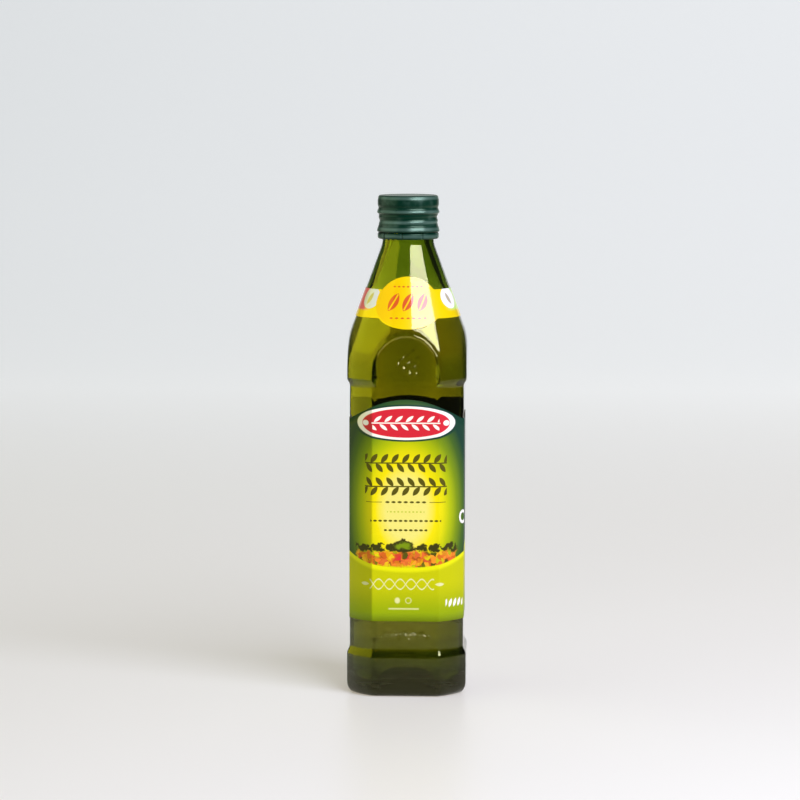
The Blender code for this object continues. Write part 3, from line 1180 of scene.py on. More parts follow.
@dataclass(frozen=True)
class BottleForm:
    """The form of the glass, as distances from the axis by turn and height.

    Attributes:
        face: Distance of the flats from the axis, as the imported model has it.
        lip: Height of the mouth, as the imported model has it.
        corner: Radius of the round corners between the flats.
        crease: Rounding between a flat and a corner, at the two crease heights.
        crease_heights: Those heights.
        recess: Depth of the label's recess.
        lower_ledge: Heights between which the recess starts.
        upper_ledge: Heights between which it ends.
        ledge_rounding: Rounding of both ledges.
        heel_height: Height of the rounding at the foot.
        heel_inset: How far the foot is drawn in.
        shoulder: Height at which the shoulder starts.
        shoulder_rounding: Rounding there.
        neck: Height at which it meets the neck.
        neck_radius: Radius of the neck.
        neck_rounding: Rounding between them.
        lip_rounding: Rounding of the mouth.
        panel: Distance of the arched panel from the axis.
        panel_foot: Heights at which the panel ends and starts above the label, outside.
        panel_rounding: Rounding along its edge.
        panel_wall: Thickness of the wall behind it.
        panel_margin: How much larger it is inside, and its rounding there.
        panel_foot_inside: Heights at which it ends and starts, inside.
        panel_depth: How far it is let in where it ends.
        arch_radius: Radius of the panel's arch.
        arch_centre: Height of the arch's centre.
        arch_slope: Slope of its edge.
        arch_turn: Degrees from its middle beyond which there is no panel.
        bead: Height of the bead that runs round the arch.
        bead_place: Distance of the bead from the arch.
        bead_width: Its half width.
        bead_foot: Heights between which it rises.
        cavity: Radius of the corners inside.
        cavity_face: Distance of the flats inside.
        body_wall: How much thicker the wall is below the shoulder.
        body_fade: Height over which it gets there.
        base_wall: How much thicker still it is below the label.
        base_fade: Height over which it gets there.
        label_foot: Height of the label's lower edge.
        floor: Height of the inner floor.
        floor_rounding: Radius of its rounding.
        floor_dome: How much higher its middle is.
        wall: Thickness of the shoulder's wall.
        neck_wall: How much thicker the wall is above the oil.
        neck_wall_heights: Heights between which it gets there.
        bore: Radius of the bore.
        drift: Depth of the two slow waves in the wall, inside.
        drift_length: Height in which each of them turns by a radian.
        drift_fade: Heights over which they fade out at the floor and at the neck.
        relief_turn: Degrees from the middle of the front or back beyond which nothing is embossed.
        column_count: How many columns the glass has.
        ring_count: How many rings it has outside.
    """

    face: float
    lip: float
    corner: float = 35.2
    crease: Pair = (0.35, 1.8)
    crease_heights: Pair = (150.0, 183.0)
    recess: float = 1.45
    lower_ledge: Pair = (20.9, 24.1)
    upper_ledge: Pair = (159.6, 162.0)
    ledge_rounding: float = 0.9
    heel_height: float = 6.0
    heel_inset: float = 4.0
    shoulder: float = 170.8
    shoulder_rounding: float = 4.4
    neck: float = 230.8
    neck_radius: float = 13.2
    neck_rounding: float = 2.2
    lip_rounding: float = 0.9
    panel: float = 29.2
    panel_foot: Pair = (149.0, 153.0)
    panel_rounding: float = 0.4
    panel_wall: float = 4.15
    panel_margin: Pair = (1.0, 1.8)
    panel_foot_inside: Pair = (150.0, 158.0)
    panel_depth: float = 3.0
    arch_radius: float = 15.0
    arch_centre: float = 169.5
    arch_slope: float = 0.6
    arch_turn: float = 60.0
    bead: float = 0.5
    bead_place: float = 1.6
    bead_width: float = 1.4
    bead_foot: Pair = (156.0, 165.0)
    cavity: float = 31.2
    cavity_face: float = 26.7
    body_wall: float = 0.6
    body_fade: float = 10.0
    base_wall: float = 1.0
    base_fade: float = 20.0
    label_foot: float = 39.0
    floor: float = 6.2
    floor_rounding: float = 9.0
    floor_dome: float = 6.5
    wall: float = 2.0
    neck_wall: float = 2.4
    neck_wall_heights: Pair = (202.0, 214.0)
    bore: float = 9.8
    drift: Pair = (0.12, 0.08)
    drift_length: Pair = (19.0, 11.0)
    drift_fade: Pair = (12.0, 20.0)
    relief_turn: float = 35.0
    column_count: int = 340
    ring_count: int = 218

    def _profile(self, z: np.ndarray) -> np.ndarray:
        """Outer radius of the turned form: straight body, cone and neck.

        Args:
            z: Heights.

        Returns:
            The radius at each.
        """
        slope = (self.corner - self.neck_radius) / (self.neck - self.shoulder)
        below = soft_corner(z - self.shoulder, self.shoulder_rounding)
        above = soft_corner(z - self.neck, self.neck_rounding)
        return self.corner - slope * (below - above)

    @staticmethod
    def _emboss() -> list[Motif]:
        """The embossed motifs.

        Returns:
            A sprig on the arched panel, and a bent row of leaves with dots in the recess below the label.
        """
        pitch, middle, bow = 2.4, 32.2, 0.04
        leaf, dot = (1.4, 0.6), (0.6, 0.6)
        motifs = RaisedSprig((0.2, 170.4), -38.0).motifs()
        for k in range(-5, 6):
            motifs.append(Motif((pitch * k, middle - bow * k * k), leaf, 56.0 if k % 2 else 124.0))
        for k in range(-5, 5):
            motifs.append(Motif((pitch * (k + 0.5), 33.3 if k % 2 else 29.8), dot))
        return motifs

    def _beyond_arch(self, turn: np.ndarray, z: np.ndarray, face: np.ndarray | float) -> np.ndarray:
        """Distance beyond the panel's arched outline.

        Args:
            turn: Turns in degrees.
            z: Heights.
            face: Distance from the axis of the upright plane on which it is measured.

        Returns:
            The distance at each turn and height, below 0 on the panel.
        """
        folded = np.minimum(np.abs(from_middle(turn, 180)), self.arch_turn)
        run = np.tan(np.radians(folded))
        rise = np.maximum(z - self.arch_centre, 0.0)
        return np.hypot(face * run, rise) - self.arch_radius

    def _arch(self, turn: np.ndarray, z: np.ndarray, margin: float, rounding: float) -> np.ndarray:
        """The arched panel and the slope round it.

        Args:
            turn: Turns in degrees.
            z: Heights.
            margin: How much larger the panel is.
            rounding: Rounding along its edge.

        Returns:
            Their distance from the axis at each turn and height.
        """
        folded = np.abs(from_middle(turn, 180))
        face = np.full(np.broadcast(turn, z).shape, self.panel)
        for _ in range(6):
            outside = self._beyond_arch(turn, z, face) - margin
            face = self.panel + soft_corner(outside, rounding) * self.arch_slope
        reach = face / np.cos(np.radians(np.minimum(folded, self.arch_turn)))
        return np.where(folded < self.arch_turn, reach, 2 * self.corner)

    def outer(self, turn: np.ndarray, z: np.ndarray) -> np.ndarray:
        """Outside of the glass.

        Args:
            turn: Turns in degrees.
            z: Heights, in a shape that goes with the turns.

        Returns:
            The distance from the axis at each turn and height.
        """
        recess = soft_ramp(z, *self.lower_ledge, self.ledge_rounding)
        recess = recess - soft_ramp(z, *self.upper_ledge, self.ledge_rounding)
        inset = self.recess * recess + self.heel_inset * quarter_round(ramp(z, self.heel_height, 0.0))
        inset = inset + self.lip_rounding * quarter_round(ramp(z, self.lip - self.lip_rounding, self.lip))
        flat = (self.face - inset) / np.cos(np.radians(from_middle(turn, 90)))
        body = soft_min(self._profile(z) - inset, flat, np.interp(z, self.crease_heights, self.crease))
        arch = self._arch(turn, z, 0.0, self.panel_rounding)
        body = soft_min(body, arch + self.panel_depth * ramp(z, *self.panel_foot[::-1]), 0.25)
        away = (self._beyond_arch(turn, z, self.face) - self.bead_place) / self.bead_width
        body = body + self.bead * np.exp(-away**2) * ramp(z, *self.bead_foot)
        return body + self._relief(turn, z, body)

    def _relief(self, turn: np.ndarray, z: np.ndarray, body: np.ndarray) -> np.ndarray:
        """The embossed designs, in front and behind.

        Args:
            turn: Turns in degrees.
            z: Heights.
            body: Distance of the plain glass from the axis.

        Returns:
            How far they stand up at each turn and height.
        """
        folded = from_middle(turn, 180)
        x = body * np.sin(np.radians(folded))
        height = np.zeros_like(body)
        for motif in self._emboss():
            height = np.maximum(height, motif.height(x, z))
        return np.where(np.abs(folded) < self.relief_turn, height, 0.0)

    def inner(self, turn: np.ndarray, z: np.ndarray, reach: float = 0.0) -> np.ndarray:
        """Inside of the glass, or of a filling that reaches into it.

        Args:
            turn: Turns in degrees.
            z: Heights, in a shape that goes with the turns.
            reach: How far the filling reaches into the glass.

        Returns:
            The distance from the axis at each turn and height.
        """
        floor = self.floor - reach
        inset = self.floor_rounding * quarter_round(ramp(z, floor + self.floor_rounding, floor))
        inset = inset + self.base_wall * ramp(z, self.label_foot + self.base_fade, self.label_foot)
        inset = inset + self.body_wall * ramp(z, self.shoulder, self.shoulder - self.body_fade)
        thicker = self.neck_wall * ramp(z, *self.neck_wall_heights)
        bore = self.bore - thicker
        wall = soft_corner(self._profile(z) - self.wall - thicker - bore, 0.6) + bore
        radius = soft_min(wall, self.cavity - inset, 1.0)
        flat = (self.cavity_face - inset) / np.cos(np.radians(from_middle(turn, 90)))
        panel = self._arch(turn, z, *self.panel_margin) - self.panel_wall
        panel = panel + self.panel_depth * ramp(z, *self.panel_foot_inside[::-1])
        return soft_min(soft_min(radius, flat, 1.0), panel, 0.5) + self._drift(turn, z) + reach

    def _drift(self, turn: np.ndarray, z: np.ndarray) -> np.ndarray:
        """Slow waves of blown glass, which fade out at the floor and at the neck.

        Args:
            turn: Turns in degrees.
            z: Heights.

        Returns:
            How far they move the wall at each turn and height.
        """
        waves = self.drift[0] * np.sin(np.radians(2 * turn) + z / self.drift_length[0])
        waves = waves + self.drift[1] * np.sin(np.radians(3 * turn) - z / self.drift_length[1])
        low, high = self.drift_fade
        return waves * ramp(z, self.floor, self.floor + low) * ramp(z, self.neck, self.neck - high)

    def floor_rings(self, turns: np.ndarray, share: np.ndarray, reach: float = 0.0) -> np.ndarray:
        """Rings on the domed floor.

        Args:
            turns: Turns of the columns.
            share: How far out each ring is, where 1 is the edge of the floor.
            reach: How far a filling reaches into the glass.

        Returns:
            The points by ring and by column.
        """
        floor = self.floor - reach
        edge = self.inner(turns, np.array([[floor]]), reach)
        return ring_points(share * edge, turns, floor + self.floor_dome * (1 - share**4))

    def columns(self) -> np.ndarray:
        """Turns of the mesh's columns.

        Returns:
            The turns, closer together in front, behind and at each edge of a flat.
        """
        peaks = [(0.0, 34.0, 2.6), (180.0, 34.0, 1.4)]
        peaks += [(90.0 * k + side * 30.0, 1.8, 3.5) for k in range(-1, 4) for side in (-1, 1)]
        return spaced(-45.0, 315.0, self.column_count + 1, peaks)[:-1]

    def heights(self) -> np.ndarray:
        """Heights of the outer rings.

        Returns:
            The heights, closer together where the form turns or carries a relief.
        """
        peaks = [
            (0.0, 2.0, 22.0),
            (5.0, 4.0, 4.0),
            (self.lower_ledge[0], 1.3, 18.0),
            (self.lower_ledge[1], 1.3, 18.0),
            (31.4, 5.4, 20.0),
            (170.5, 17.0, 22.0),
            (self.neck, 4.0, 6.0),
            (self.lip, 1.2, 14.0),
            (210.0, 40.0, 1.0),
        ]
        return spaced(0.0, self.lip, self.ring_count, peaks)

    def inner_peaks(self, floor: float) -> list[Point]:
        """Where the inner rings are closer together, above a floor of this height."""
        return [(floor, 3.0, 12.0), (floor + 6, 4.0, 3.0), (178.0, 12.0, 3.0)]


# Pieces of the bottle


def attach(piece: bpy.types.Object, node: str) -> bpy.types.Object:
    """Hands a piece to the frame in the place of one of its nodes.

    Args:
        piece: The dressed piece.
        node: The node that it stands for.

    Returns:
        The piece.
    """
    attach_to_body(piece, "root")
    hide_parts(node)
    LOG.info("%s: %d faces", piece.name, len(piece.data.polygons))
    return piece


def millimetres(node: str) -> tuple[Vector, Vector]:
    """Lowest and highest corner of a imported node, in millimetres."""
    low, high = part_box(node)
    return low / MM, high / MM


def lay_print(piece: bpy.types.Object, domain: str, places: np.ndarray, unprinted: np.ndarray) -> None:
    """Writes the places on the print to a mesh, and gives its unprinted faces the second material.

    Args:
        piece: The piece.
        domain: Whether the places are by POINT or by CORNER.
        places: The places, in the mesh's order.
        unprinted: Which faces have no print.
    """
    layer = piece.data.attributes.new(PRINT_PLACE, "FLOAT_VECTOR", domain)
    layer.data.foreach_set("vector", places.ravel())
    piece.data.polygons.foreach_set("material_index", unprinted.astype(np.int32))


@dataclass
class GlassBottle:
    """The bottle's glass.

    Attributes:
        form: Its form.
        finish: Its finish.
        punt_radius: Radius of the hollow in the underside.
        punt_height: Depth of that hollow.
    """

    form: BottleForm
    finish: ClearFinish
    punt_radius: float = 23.5
    punt_height: float = 3.0

    def build(self) -> bpy.types.Object:
        """Builds the outside from the middle of the underside to the lip, and the inside back down.

        Returns:
            The piece.
        """
        form = self.form
        turns = form.columns()[None, :]
        share = np.linspace(0.12, 1.0, 9)[:, None]
        punt = ring_points(self.punt_radius * share, turns, self.punt_height * (1 - share**2))
        up = form.heights()[:, None]
        outside = ring_points(form.outer(turns, up), turns, up)
        peaks = [*form.inner_peaks(form.floor), (form.neck, 6.0, 2.0)]
        down = spaced(form.floor, form.lip, 49, peaks)[::-1, None]
        inside = ring_points(form.inner(turns, down), turns, down)
        floor = form.floor_rings(turns, np.linspace(0.9, 0.1, 8)[:, None])
        rings = np.concatenate([punt, outside, inside, floor])
        skin = Skin(rings, (0.0, 0.0, self.punt_height), (0.0, 0.0, form.floor + form.floor_dome))
        return attach(skin.build("green_glass_bottle", self.finish.material()), "bottle_glass")


@dataclass
class OilFill:
    """The oil in the bottle.

    Attributes:
        form: The form of the glass round it.
        level: Height of its surface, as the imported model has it.
        finish: Its finish.
        reach: How far it reaches into the wall, so that no air shows between them.
        meniscus: How far it climbs the wall.
        inward: Distances from the wall of the rings on its surface.
    """

    form: BottleForm
    level: float
    finish: ClearFinish
    reach: float = 0.15
    meniscus: float = 0.9
    inward: tuple[float, ...] = (0.15, 0.35, 0.6, 1.0, 1.6, 2.6, 4.0, 7.0, 12.0)

    def build(self) -> bpy.types.Object:
        """Builds the oil from the middle of the floor up, and its surface with the rim that climbs the wall.

        Returns:
            The piece.
        """
        form = self.form
        turns = np.linspace(-180, 180, 181)[None, :-1]
        bottom = form.floor_rings(turns, np.linspace(0.1, 0.9, 6)[:, None], self.reach)
        floor, top = form.floor - self.reach, self.level + self.meniscus
        up = spaced(floor, top, 60, form.inner_peaks(floor))[:, None]
        side = ring_points(form.inner(turns, up, self.reach), turns, up)
        inward = np.array(self.inward)[:, None]
        rim = form.inner(turns, np.array([[top]]), self.reach)
        climb = self.meniscus * np.exp(-inward / self.meniscus)
        surface = ring_points(rim - inward, turns, self.level + climb)
        rings = np.concatenate([bottom, side, surface])
        skin = Skin(rings, (0.0, 0.0, floor + form.floor_dome), (0.0, 0.0, self.level))
        return attach(skin.build("golden_oil", self.finish.material()), "olive_oil")


@dataclass
class ScrewCap:
    """The rolled metal screw cap.

    Attributes:
        foot: Height of its lower rim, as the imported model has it.
        height: Its height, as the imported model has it.
        finish: Its finish.
        radius: Radius of its skirt.
        top_rounding: Rounding of its upper edge.
        dish: How far its top is let in.
        bore: Radius inside.
        liner: Thickness of its top.
        thread: Heights above the rim between which the thread is rolled.
        thread_radius: Radius of the thread's crests.
        thread_depth: Depth of its groove.
        thread_pitch: Its rise in one turn.
    """

    foot: float
    height: float
    finish: LacquerFinish
    radius: float = 15.7
    top_rounding: float = 1.2
    dish: float = 0.16
    bore: float = 14.05
    liner: float = 1.5
    thread: Pair = (4.2, 8.8)
    thread_radius: float = 15.15
    thread_depth: float = 0.45
    thread_pitch: float = 3.84

    def _outline(self) -> np.ndarray:
        """The outside with its two beads, rounded.

        Returns:
            Heights above the rim and radii.
        """
        plain, skirt = self.thread_radius, self.radius
        edge = skirt - 0.3
        lower_bead = [(0.0, edge), (0.2, 15.75), (0.5, 16.0), (0.9, 16.02), (1.9, 15.8), (2.8, 15.5)]
        thread = [(3.4, 15.2), (3.8, plain), *((z, plain) for z in np.linspace(*self.thread, 22))]
        upper_bead = [(9.0, plain), (9.3, plain), (9.7, 15.75), (10.0, 15.98), (10.5, 15.98), (11.2, 15.72)]
        waist = [(11.9, 15.38), (12.6, 15.24), (13.1, 15.4), (13.7, 15.65), (14.4, skirt), (16.4, skirt)]
        corner, rounding = self.height - self.top_rounding, self.top_rounding
        turns = np.radians(np.linspace(0, 90, 7))
        rim = [(corner + rounding * math.sin(t), edge - rounding * (1 - math.cos(t))) for t in turns]
        return smooth_profile(lower_bead + thread + upper_bead + waist + rim, 2)

    def _relief(self, turns: np.ndarray, z: np.ndarray) -> np.ndarray:
        """The rolled thread: a groove that rises by one pitch a turn.

        Args:
            turns: Turns in degrees.
            z: Heights above the rim.

        Returns:
            What it adds to the radius, which is below 0.
        """
        low, high = self.thread
        fade = ramp(z, low - 0.2, low + 0.8) * ramp(z, high + 0.2, high - 0.8)
        wave = 0.5 + 0.5 * np.cos(2 * np.pi * z / self.thread_pitch - np.radians(turns - 90))
        return -self.thread_depth * fade * wave

    def build(self) -> bpy.types.Object:
        """Builds the cap from the middle of its inner top, down the bore, and up the outside.

        Returns:
            The piece.
        """
        turns = np.linspace(-180, 180, 193)[None, :-1]
        outline = self._outline()
        z, radius = outline[:, :1], outline[:, 1:]
        outside = ring_points(radius + self._relief(turns, z), turns, z + self.foot)
        ceiling = self.height - self.liner
        heights = np.array([ceiling, ceiling, 0.3, 0.0])[:, None]
        radii = self.bore + np.array([-0.4, 0.0, 0.0, 0.3])[:, None]
        inside = ring_points(radii, turns, heights + self.foot)
        share = np.array([0.985, 0.96, 0.93, 0.88, 0.75, 0.5, 0.25])[:, None]
        sunk = self.dish * np.array([0.0, 0.375, 0.875, 1.0, 1.0, 1.0, 1.0])[:, None]
        top = ring_points(radius[-1, 0] * share, turns, self.foot + self.height - sunk)
        rings = np.concatenate([inside, outside, top])
        skin = Skin(rings, (0.0, 0.0, self.foot + ceiling), (0.0, 0.0, self.foot + self.height - self.dish))
        return attach(skin.build("lacquered_screw_cap", self.finish.material()), "screw_cap")


@dataclass
class TamperBand:
    """The ring below the cap that breaks away along its score lines.

    Attributes:
        foot: Height of its lower rim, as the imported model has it.
        height: Its height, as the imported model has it.
        finish: Its finish.
        radius: Its outer radius.
        bore: Radius inside.
        throat: Radius of its rolled-in foot.
        scores: How many score lines it has.
        first: Turn of the first one.
        score_depth: How deep they are pressed in.
        score_width: Their half width in degrees.
    """

    foot: float
    height: float
    finish: LacquerFinish
    radius: float = 15.7
    bore: float = 14.3
    throat: float = 13.6
    scores: int = 9
    first: float = -10.2
    score_depth: float = 0.6
    score_width: float = 1.3

    def _section(self) -> np.ndarray:
        """Its section, from the bore down, out and up.

        Returns:
            Heights above the rim and radii, rounded.
        """
        inside = [(self.height, self.bore), (1.2, self.bore), (0.5, self.throat), (0.0, self.throat)]
        foot = [(0.0, self.radius - 0.9), (0.3, self.radius - 0.35), (0.9, self.radius), (2.4, self.radius)]
        head = [(self.height - 0.3, self.radius - 0.1), (self.height, self.radius - 0.4)]
        return smooth_profile(inside + foot + head, 2)

    def build(self) -> bpy.types.Object:
        """Builds the ring as an endless skin round its own section.

        Returns:
            The piece.
        """
        middles = [self.first + 360 * k / self.scores for k in range(self.scores)]
        peaks = [(m + shift, 2.6, 5.0) for m in middles for shift in (-360, 0, 360)]
        turns = spaced(-180.0, 180.0, 325, peaks)[None, :-1]
        section = self._section()
        z, radius = section[:, :1], section[:, 1:]
        away = np.min([np.abs(from_middle(turns - m, 360)) for m in middles], axis=0)
        slit = 1 / (1 + (away / self.score_width) ** 6)
        outside = ramp(radius, self.bore, self.bore + 1.0) * ramp(z, 0.2, 0.7)
        rings = ring_points(radius - self.score_depth * slit * outside, turns, z + self.foot)
        piece = Skin(rings, endless=True).build("scored_tamper_band", self.finish.material())
        return attach(piece, "tamper_band")


@dataclass
class WrapLabel:
    """The printed sleeve in the recess of the bottle.

    Attributes:
        form: The form of the glass that it lies on.
        foot: Height of its lower edge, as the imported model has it.
        crest: Height of its upper edge in the middle of the front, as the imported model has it.
        print: The print on it.
        back: The finish of its inner side.
        side_top: Height of its upper edge at the sides.
        rear_top: Height of its upper edge in the middle of the back.
        front_bow: Radius of the upper edge's arc in front.
        rear_bow: Radius of that arc behind.
        clearance: Room between the glass and the sleeve.
        thickness: Its thickness.
        rows: How many rings it has on each side.
    """

    form: BottleForm
    foot: float
    crest: float
    print: LabelPrint
    back: PaperFinish
    side_top: float = 142.4
    rear_top: float = 150.5
    front_bow: float = 38.8
    rear_bow: float = 58.0
    clearance: float = 0.08
    thickness: float = 0.2
    rows: int = 25

    def _top(self, x: np.ndarray, y: np.ndarray) -> np.ndarray:
        """The upper edge: a low arch in front and behind, straight at the sides.

        Args:
            x: Places across.
            y: Places from front to back.

        Returns:
            Its height there.
        """
        front = soft_corner(self.crest - x**2 / (2 * self.front_bow) - self.side_top, 0.7)
        rear = soft_corner(self.rear_top - x**2 / (2 * self.rear_bow) - self.side_top, 0.7)
        return self.side_top + np.where(y < 0, front, rear)

    def build(self) -> bpy.types.Object:
        """Builds the sleeve as an endless skin, outside up and inside down, with the print on its outside.

        Returns:
            The piece.
        """
        edges = [90.0 * k + side * 30.0 for k in range(-2, 3) for side in (-1, 1)]
        turns = spaced(-180.0, 180.0, 361, [(edge, 2.0, 4.0) for edge in edges])[None, :-1]
        surface = self.form.outer(turns, np.array([[100.0]])) + self.clearance
        inside, outside = (ring_points(surface + offset, turns, 0.0)[0] for offset in (0.0, self.thickness))
        tops = self._top(outside[:, 0], outside[:, 1])
        shares = np.linspace(0, 1, self.rows)
        rows = [(outside, s) for s in shares] + [(inside, s) for s in shares[::-1]]
        rings = np.stack([np.column_stack([w[:, :2], self.foot + s * (tops - self.foot)]) for w, s in rows])
        skin = Skin(rings, endless=True)
        piece = skin.build("printed_wrap_label", self.print.material(), self.back.material())
        count, columns = rings.shape[:2]
        unprinted = np.repeat(np.arange(count) >= self.rows - 1, columns)
        lay_print(piece, "CORNER", self._places(rings), unprinted)
        return attach(piece, "wrap_label")

    @staticmethod
    def _places(rings: np.ndarray) -> np.ndarray:
        """Places on the print, by the way round the sleeve and by height.

        Args:
            rings: The sleeve's points by ring and column.

        Returns:
            The place of each corner of each face.
        """
        count, columns = rings.shape[:2]
        closed = np.vstack([rings[0], rings[0][:1]])[:, :2]
        around = np.concatenate([[0.0], np.cumsum(np.hypot(*np.diff(closed, axis=0).T))])
        front = np.argmin(np.where(closed[:, 1] < 0, np.abs(closed[:, 0]), np.inf))
        around = around - around[front] - closed[front, 0]
        places = np.zeros((count, columns, 4, 3))
        for corner, (column, row) in enumerate(((0, 0), (1, 0), (1, 1), (0, 1))):
            places[:, :, corner, 0] = around[column : column + columns]
            places[:, :, corner, 1] = np.roll(rings[:, :, 2], (-row, -column), axis=(0, 1))
        return places


@dataclass
class NeckSticker:
    """The glossy sticker on the shoulder: an oval with a wing to each side.

    Attributes:
        form: The form of the glass that it lies on.
        middle: Height of the oval's middle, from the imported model.
        half_height: Half the oval's height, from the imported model.
        print: The print on it.
        back: The finish of its inner side.
        turn: Turn of its middle.
        oval_turn: Half turn of the oval.
        wing_turn: Half turn of the wings.
        wing_drop: How far the wings' middle lies below the oval's.
        wing_half_height: Half the wings' height.
        wing_rounding: How much lower the wings are at their rounded ends.
        clearance: Room between the glass and the sticker.
        thickness: Its thickness.
        rows: How many rows of points it has on each side.
        columns: How many columns it has.
    """

    form: BottleForm
    middle: float
    half_height: float
    print: StickerPrint
    back: PaperFinish
    turn: float = 2.0
    oval_turn: float = 42.0
    wing_turn: float = 100.0
    wing_drop: float = 0.8
    wing_half_height: float = 7.2
    wing_rounding: float = 1.6
    clearance: float = 0.08
    thickness: float = 0.2
    rows: int = 13
    columns: int = 181

    def _edges(self, turns: np.ndarray) -> tuple[np.ndarray, np.ndarray]:
        """The oval or the wing, the further out.

        Args:
            turns: Turns from the sticker's middle.

        Returns:
            Heights of the lower edge and of the upper edge.
        """
        wing = self.middle - self.wing_drop
        half = self.half_height * np.sqrt(np.clip(1 - (turns / self.oval_turn) ** 2, 0, 1))
        end = ramp(np.abs(turns), self.wing_turn - 6.0, self.wing_turn)
        tall = self.wing_half_height - self.wing_rounding * quarter_round(end)
        low = np.minimum(wing - tall, np.where(half > 0, self.middle - half, wing))
        high = np.maximum(wing + tall, np.where(half > 0, self.middle + half, wing))
        return low, high

    def build(self) -> bpy.types.Object:
        """Builds the sticker as one bent plate, printed outside.

        Returns:
            The piece.
        """
        peaks = [(side * self.wing_turn, 4.0, 3.0) for side in (-1, 1)]
        peaks += [(side * self.oval_turn * 0.9, 5.0, 3.0) for side in (-1, 1)]
        turns = spaced(-self.wing_turn, self.wing_turn, self.columns, peaks)
        low, high = self._edges(turns)
        z = low + (high - low) * np.linspace(0, 1, self.rows)[:, None]
        placed = turns[None, :] + self.turn
        surface = self.form.outer(placed, z) + self.clearance
        outer, inner = (ring_points(surface + offset, placed, z) for offset in (self.thickness, 0.0))
        points = np.concatenate([outer, inner[::-1]]).reshape(-1, 3)
        faces = self._faces()
        piece = add_mesh("glossy_neck_sticker", points, faces, self.print.material(), self.back.material())
        piece.data.set_sharp_from_angle(angle=math.radians(40))
        radius = self.form.outer(np.array([0.0]), np.array([self.middle]))[0]
        across = np.broadcast_to(np.radians(turns) * radius, z.shape)
        places = np.stack([across, z - self.middle, 0 * z], axis=-1)
        unprinted = np.arange(len(faces)) >= (self.rows - 1) * (self.columns - 1)
        lay_print(piece, "POINT", np.concatenate([places, places[::-1]]), unprinted)
        return attach(piece, "neck_label")

    def _faces(self) -> list[list[int]]:
        """Faces that close two sheets of points into a plate: the outer sheet up, then the inner one down.

        Returns:
            The points round each face, with the printed side's first.
        """
        rows, columns = 2 * self.rows, self.columns
        faces = []
        for row in range(rows):
            low, high = row * columns, (row + 1) % rows * columns
            faces += [[low + k, low + k + 1, high + k + 1, high + k] for k in range(columns - 1)]
        right = columns - 1
        for k in range(self.rows - 1):
            outer, inner = k * columns, (rows - 1 - k) * columns
            faces.append([outer, outer + columns, inner - columns, inner])
            faces.append([outer + right, inner + right, inner - columns + right, outer + columns + right])
        return faces


# Stage, light and camera


@dataclass
class Stage:
    """A pale sheet that is the floor and curves up behind the bottle.

    Attributes:
        finish: Its finish.
        half_width: Half its width.
        front: Where it starts, in front of the bottle.
        bend: How far behind the bottle it starts to curve up.
        bend_radius: Radius of that curve.
        top: Height of its upper edge.
    """

    finish: StageFinish
    half_width: float = 1200.0
    front: float = -270.0
    bend: float = 1500.0
    bend_radius: float = 900.0
    top: float = 3000.0

    def build(self) -> bpy.types.Object:
        """Builds the sheet.

        Returns:
            The sheet.
        """
        run = [(self.front, 0.0), (0.0, 0.0)]
        for t in np.radians(np.linspace(0, 90, 25)):
            run.append((self.bend + self.bend_radius * math.sin(t), self.bend_radius * (1 - math.cos(t))))
        run.append((self.bend + self.bend_radius, self.top))
        points = np.array([(side * self.half_width, y, z) for y, z in run for side in (-1, 1)])
        faces = [[2 * k, 2 * k + 1, 2 * k + 3, 2 * k + 2] for k in range(len(run) - 1)]
        sheet = add_mesh("pale_sheet", points, faces, self.finish.material())
        return sheet


class Linking(Enum):
    """Which pieces a light shines on."""

    ALL = ""
    ONLY = "INCLUDE"
    OTHERS = "EXCLUDE"


@dataclass(frozen=True)
class Softbox:
    """A flat, even studio light that faces the bottle.

    Attributes:
        name: Its name.
        azimuth: Degrees from the front towards +X.
        elevation: Degrees above the floor.
        distance: Millimetres from the bottle.
        size: Its width and height in millimetres.
        radiance: Brightness of its face.
        tint: Its colour.
        aim: Height that it faces.
    """

    name: str
    azimuth: float
    elevation: float
    distance: float
    size: Pair
    radiance: float
    tint: Point
    aim: float = 180.0

    def build(self, pieces: tuple[bpy.types.Object, ...] = (), linking: Linking = Linking.ALL) -> None:
        """Adds the light.

        Args:
            pieces: Pieces that it lights alone, or leaves to the other lights.
            linking: Which of the two it is.
        """
        light = bpy.data.lights.new(self.name, "AREA")
        light.shape = "RECTANGLE"
        light.size, light.size_y = (side * MM for side in self.size)
        light.energy = self.radiance * math.pi * light.size * light.size_y
        light.color = self.tint
        lamp = bpy.data.objects.new(self.name, light)
        turn, lift = math.radians(self.azimuth), math.radians(self.elevation)
        away = Vector((math.sin(turn) * math.cos(lift), -math.cos(turn) * math.cos(lift), math.sin(lift)))
        lamp.location = (away * self.distance + Vector((0, 0, self.aim))) * MM
        lamp.rotation_euler = away.to_track_quat("Z", "Y").to_euler()
        bpy.context.scene.collection.objects.link(lamp)
        if linking is Linking.ALL:
            return
        group = bpy.data.collections.new(f"{self.name}_pieces")
        lamp.light_linking.receiver_collection = group
        for piece in pieces:
            group.objects.link(piece)
        for member in group.collection_objects:
            member.light_linking.link_state = linking.value


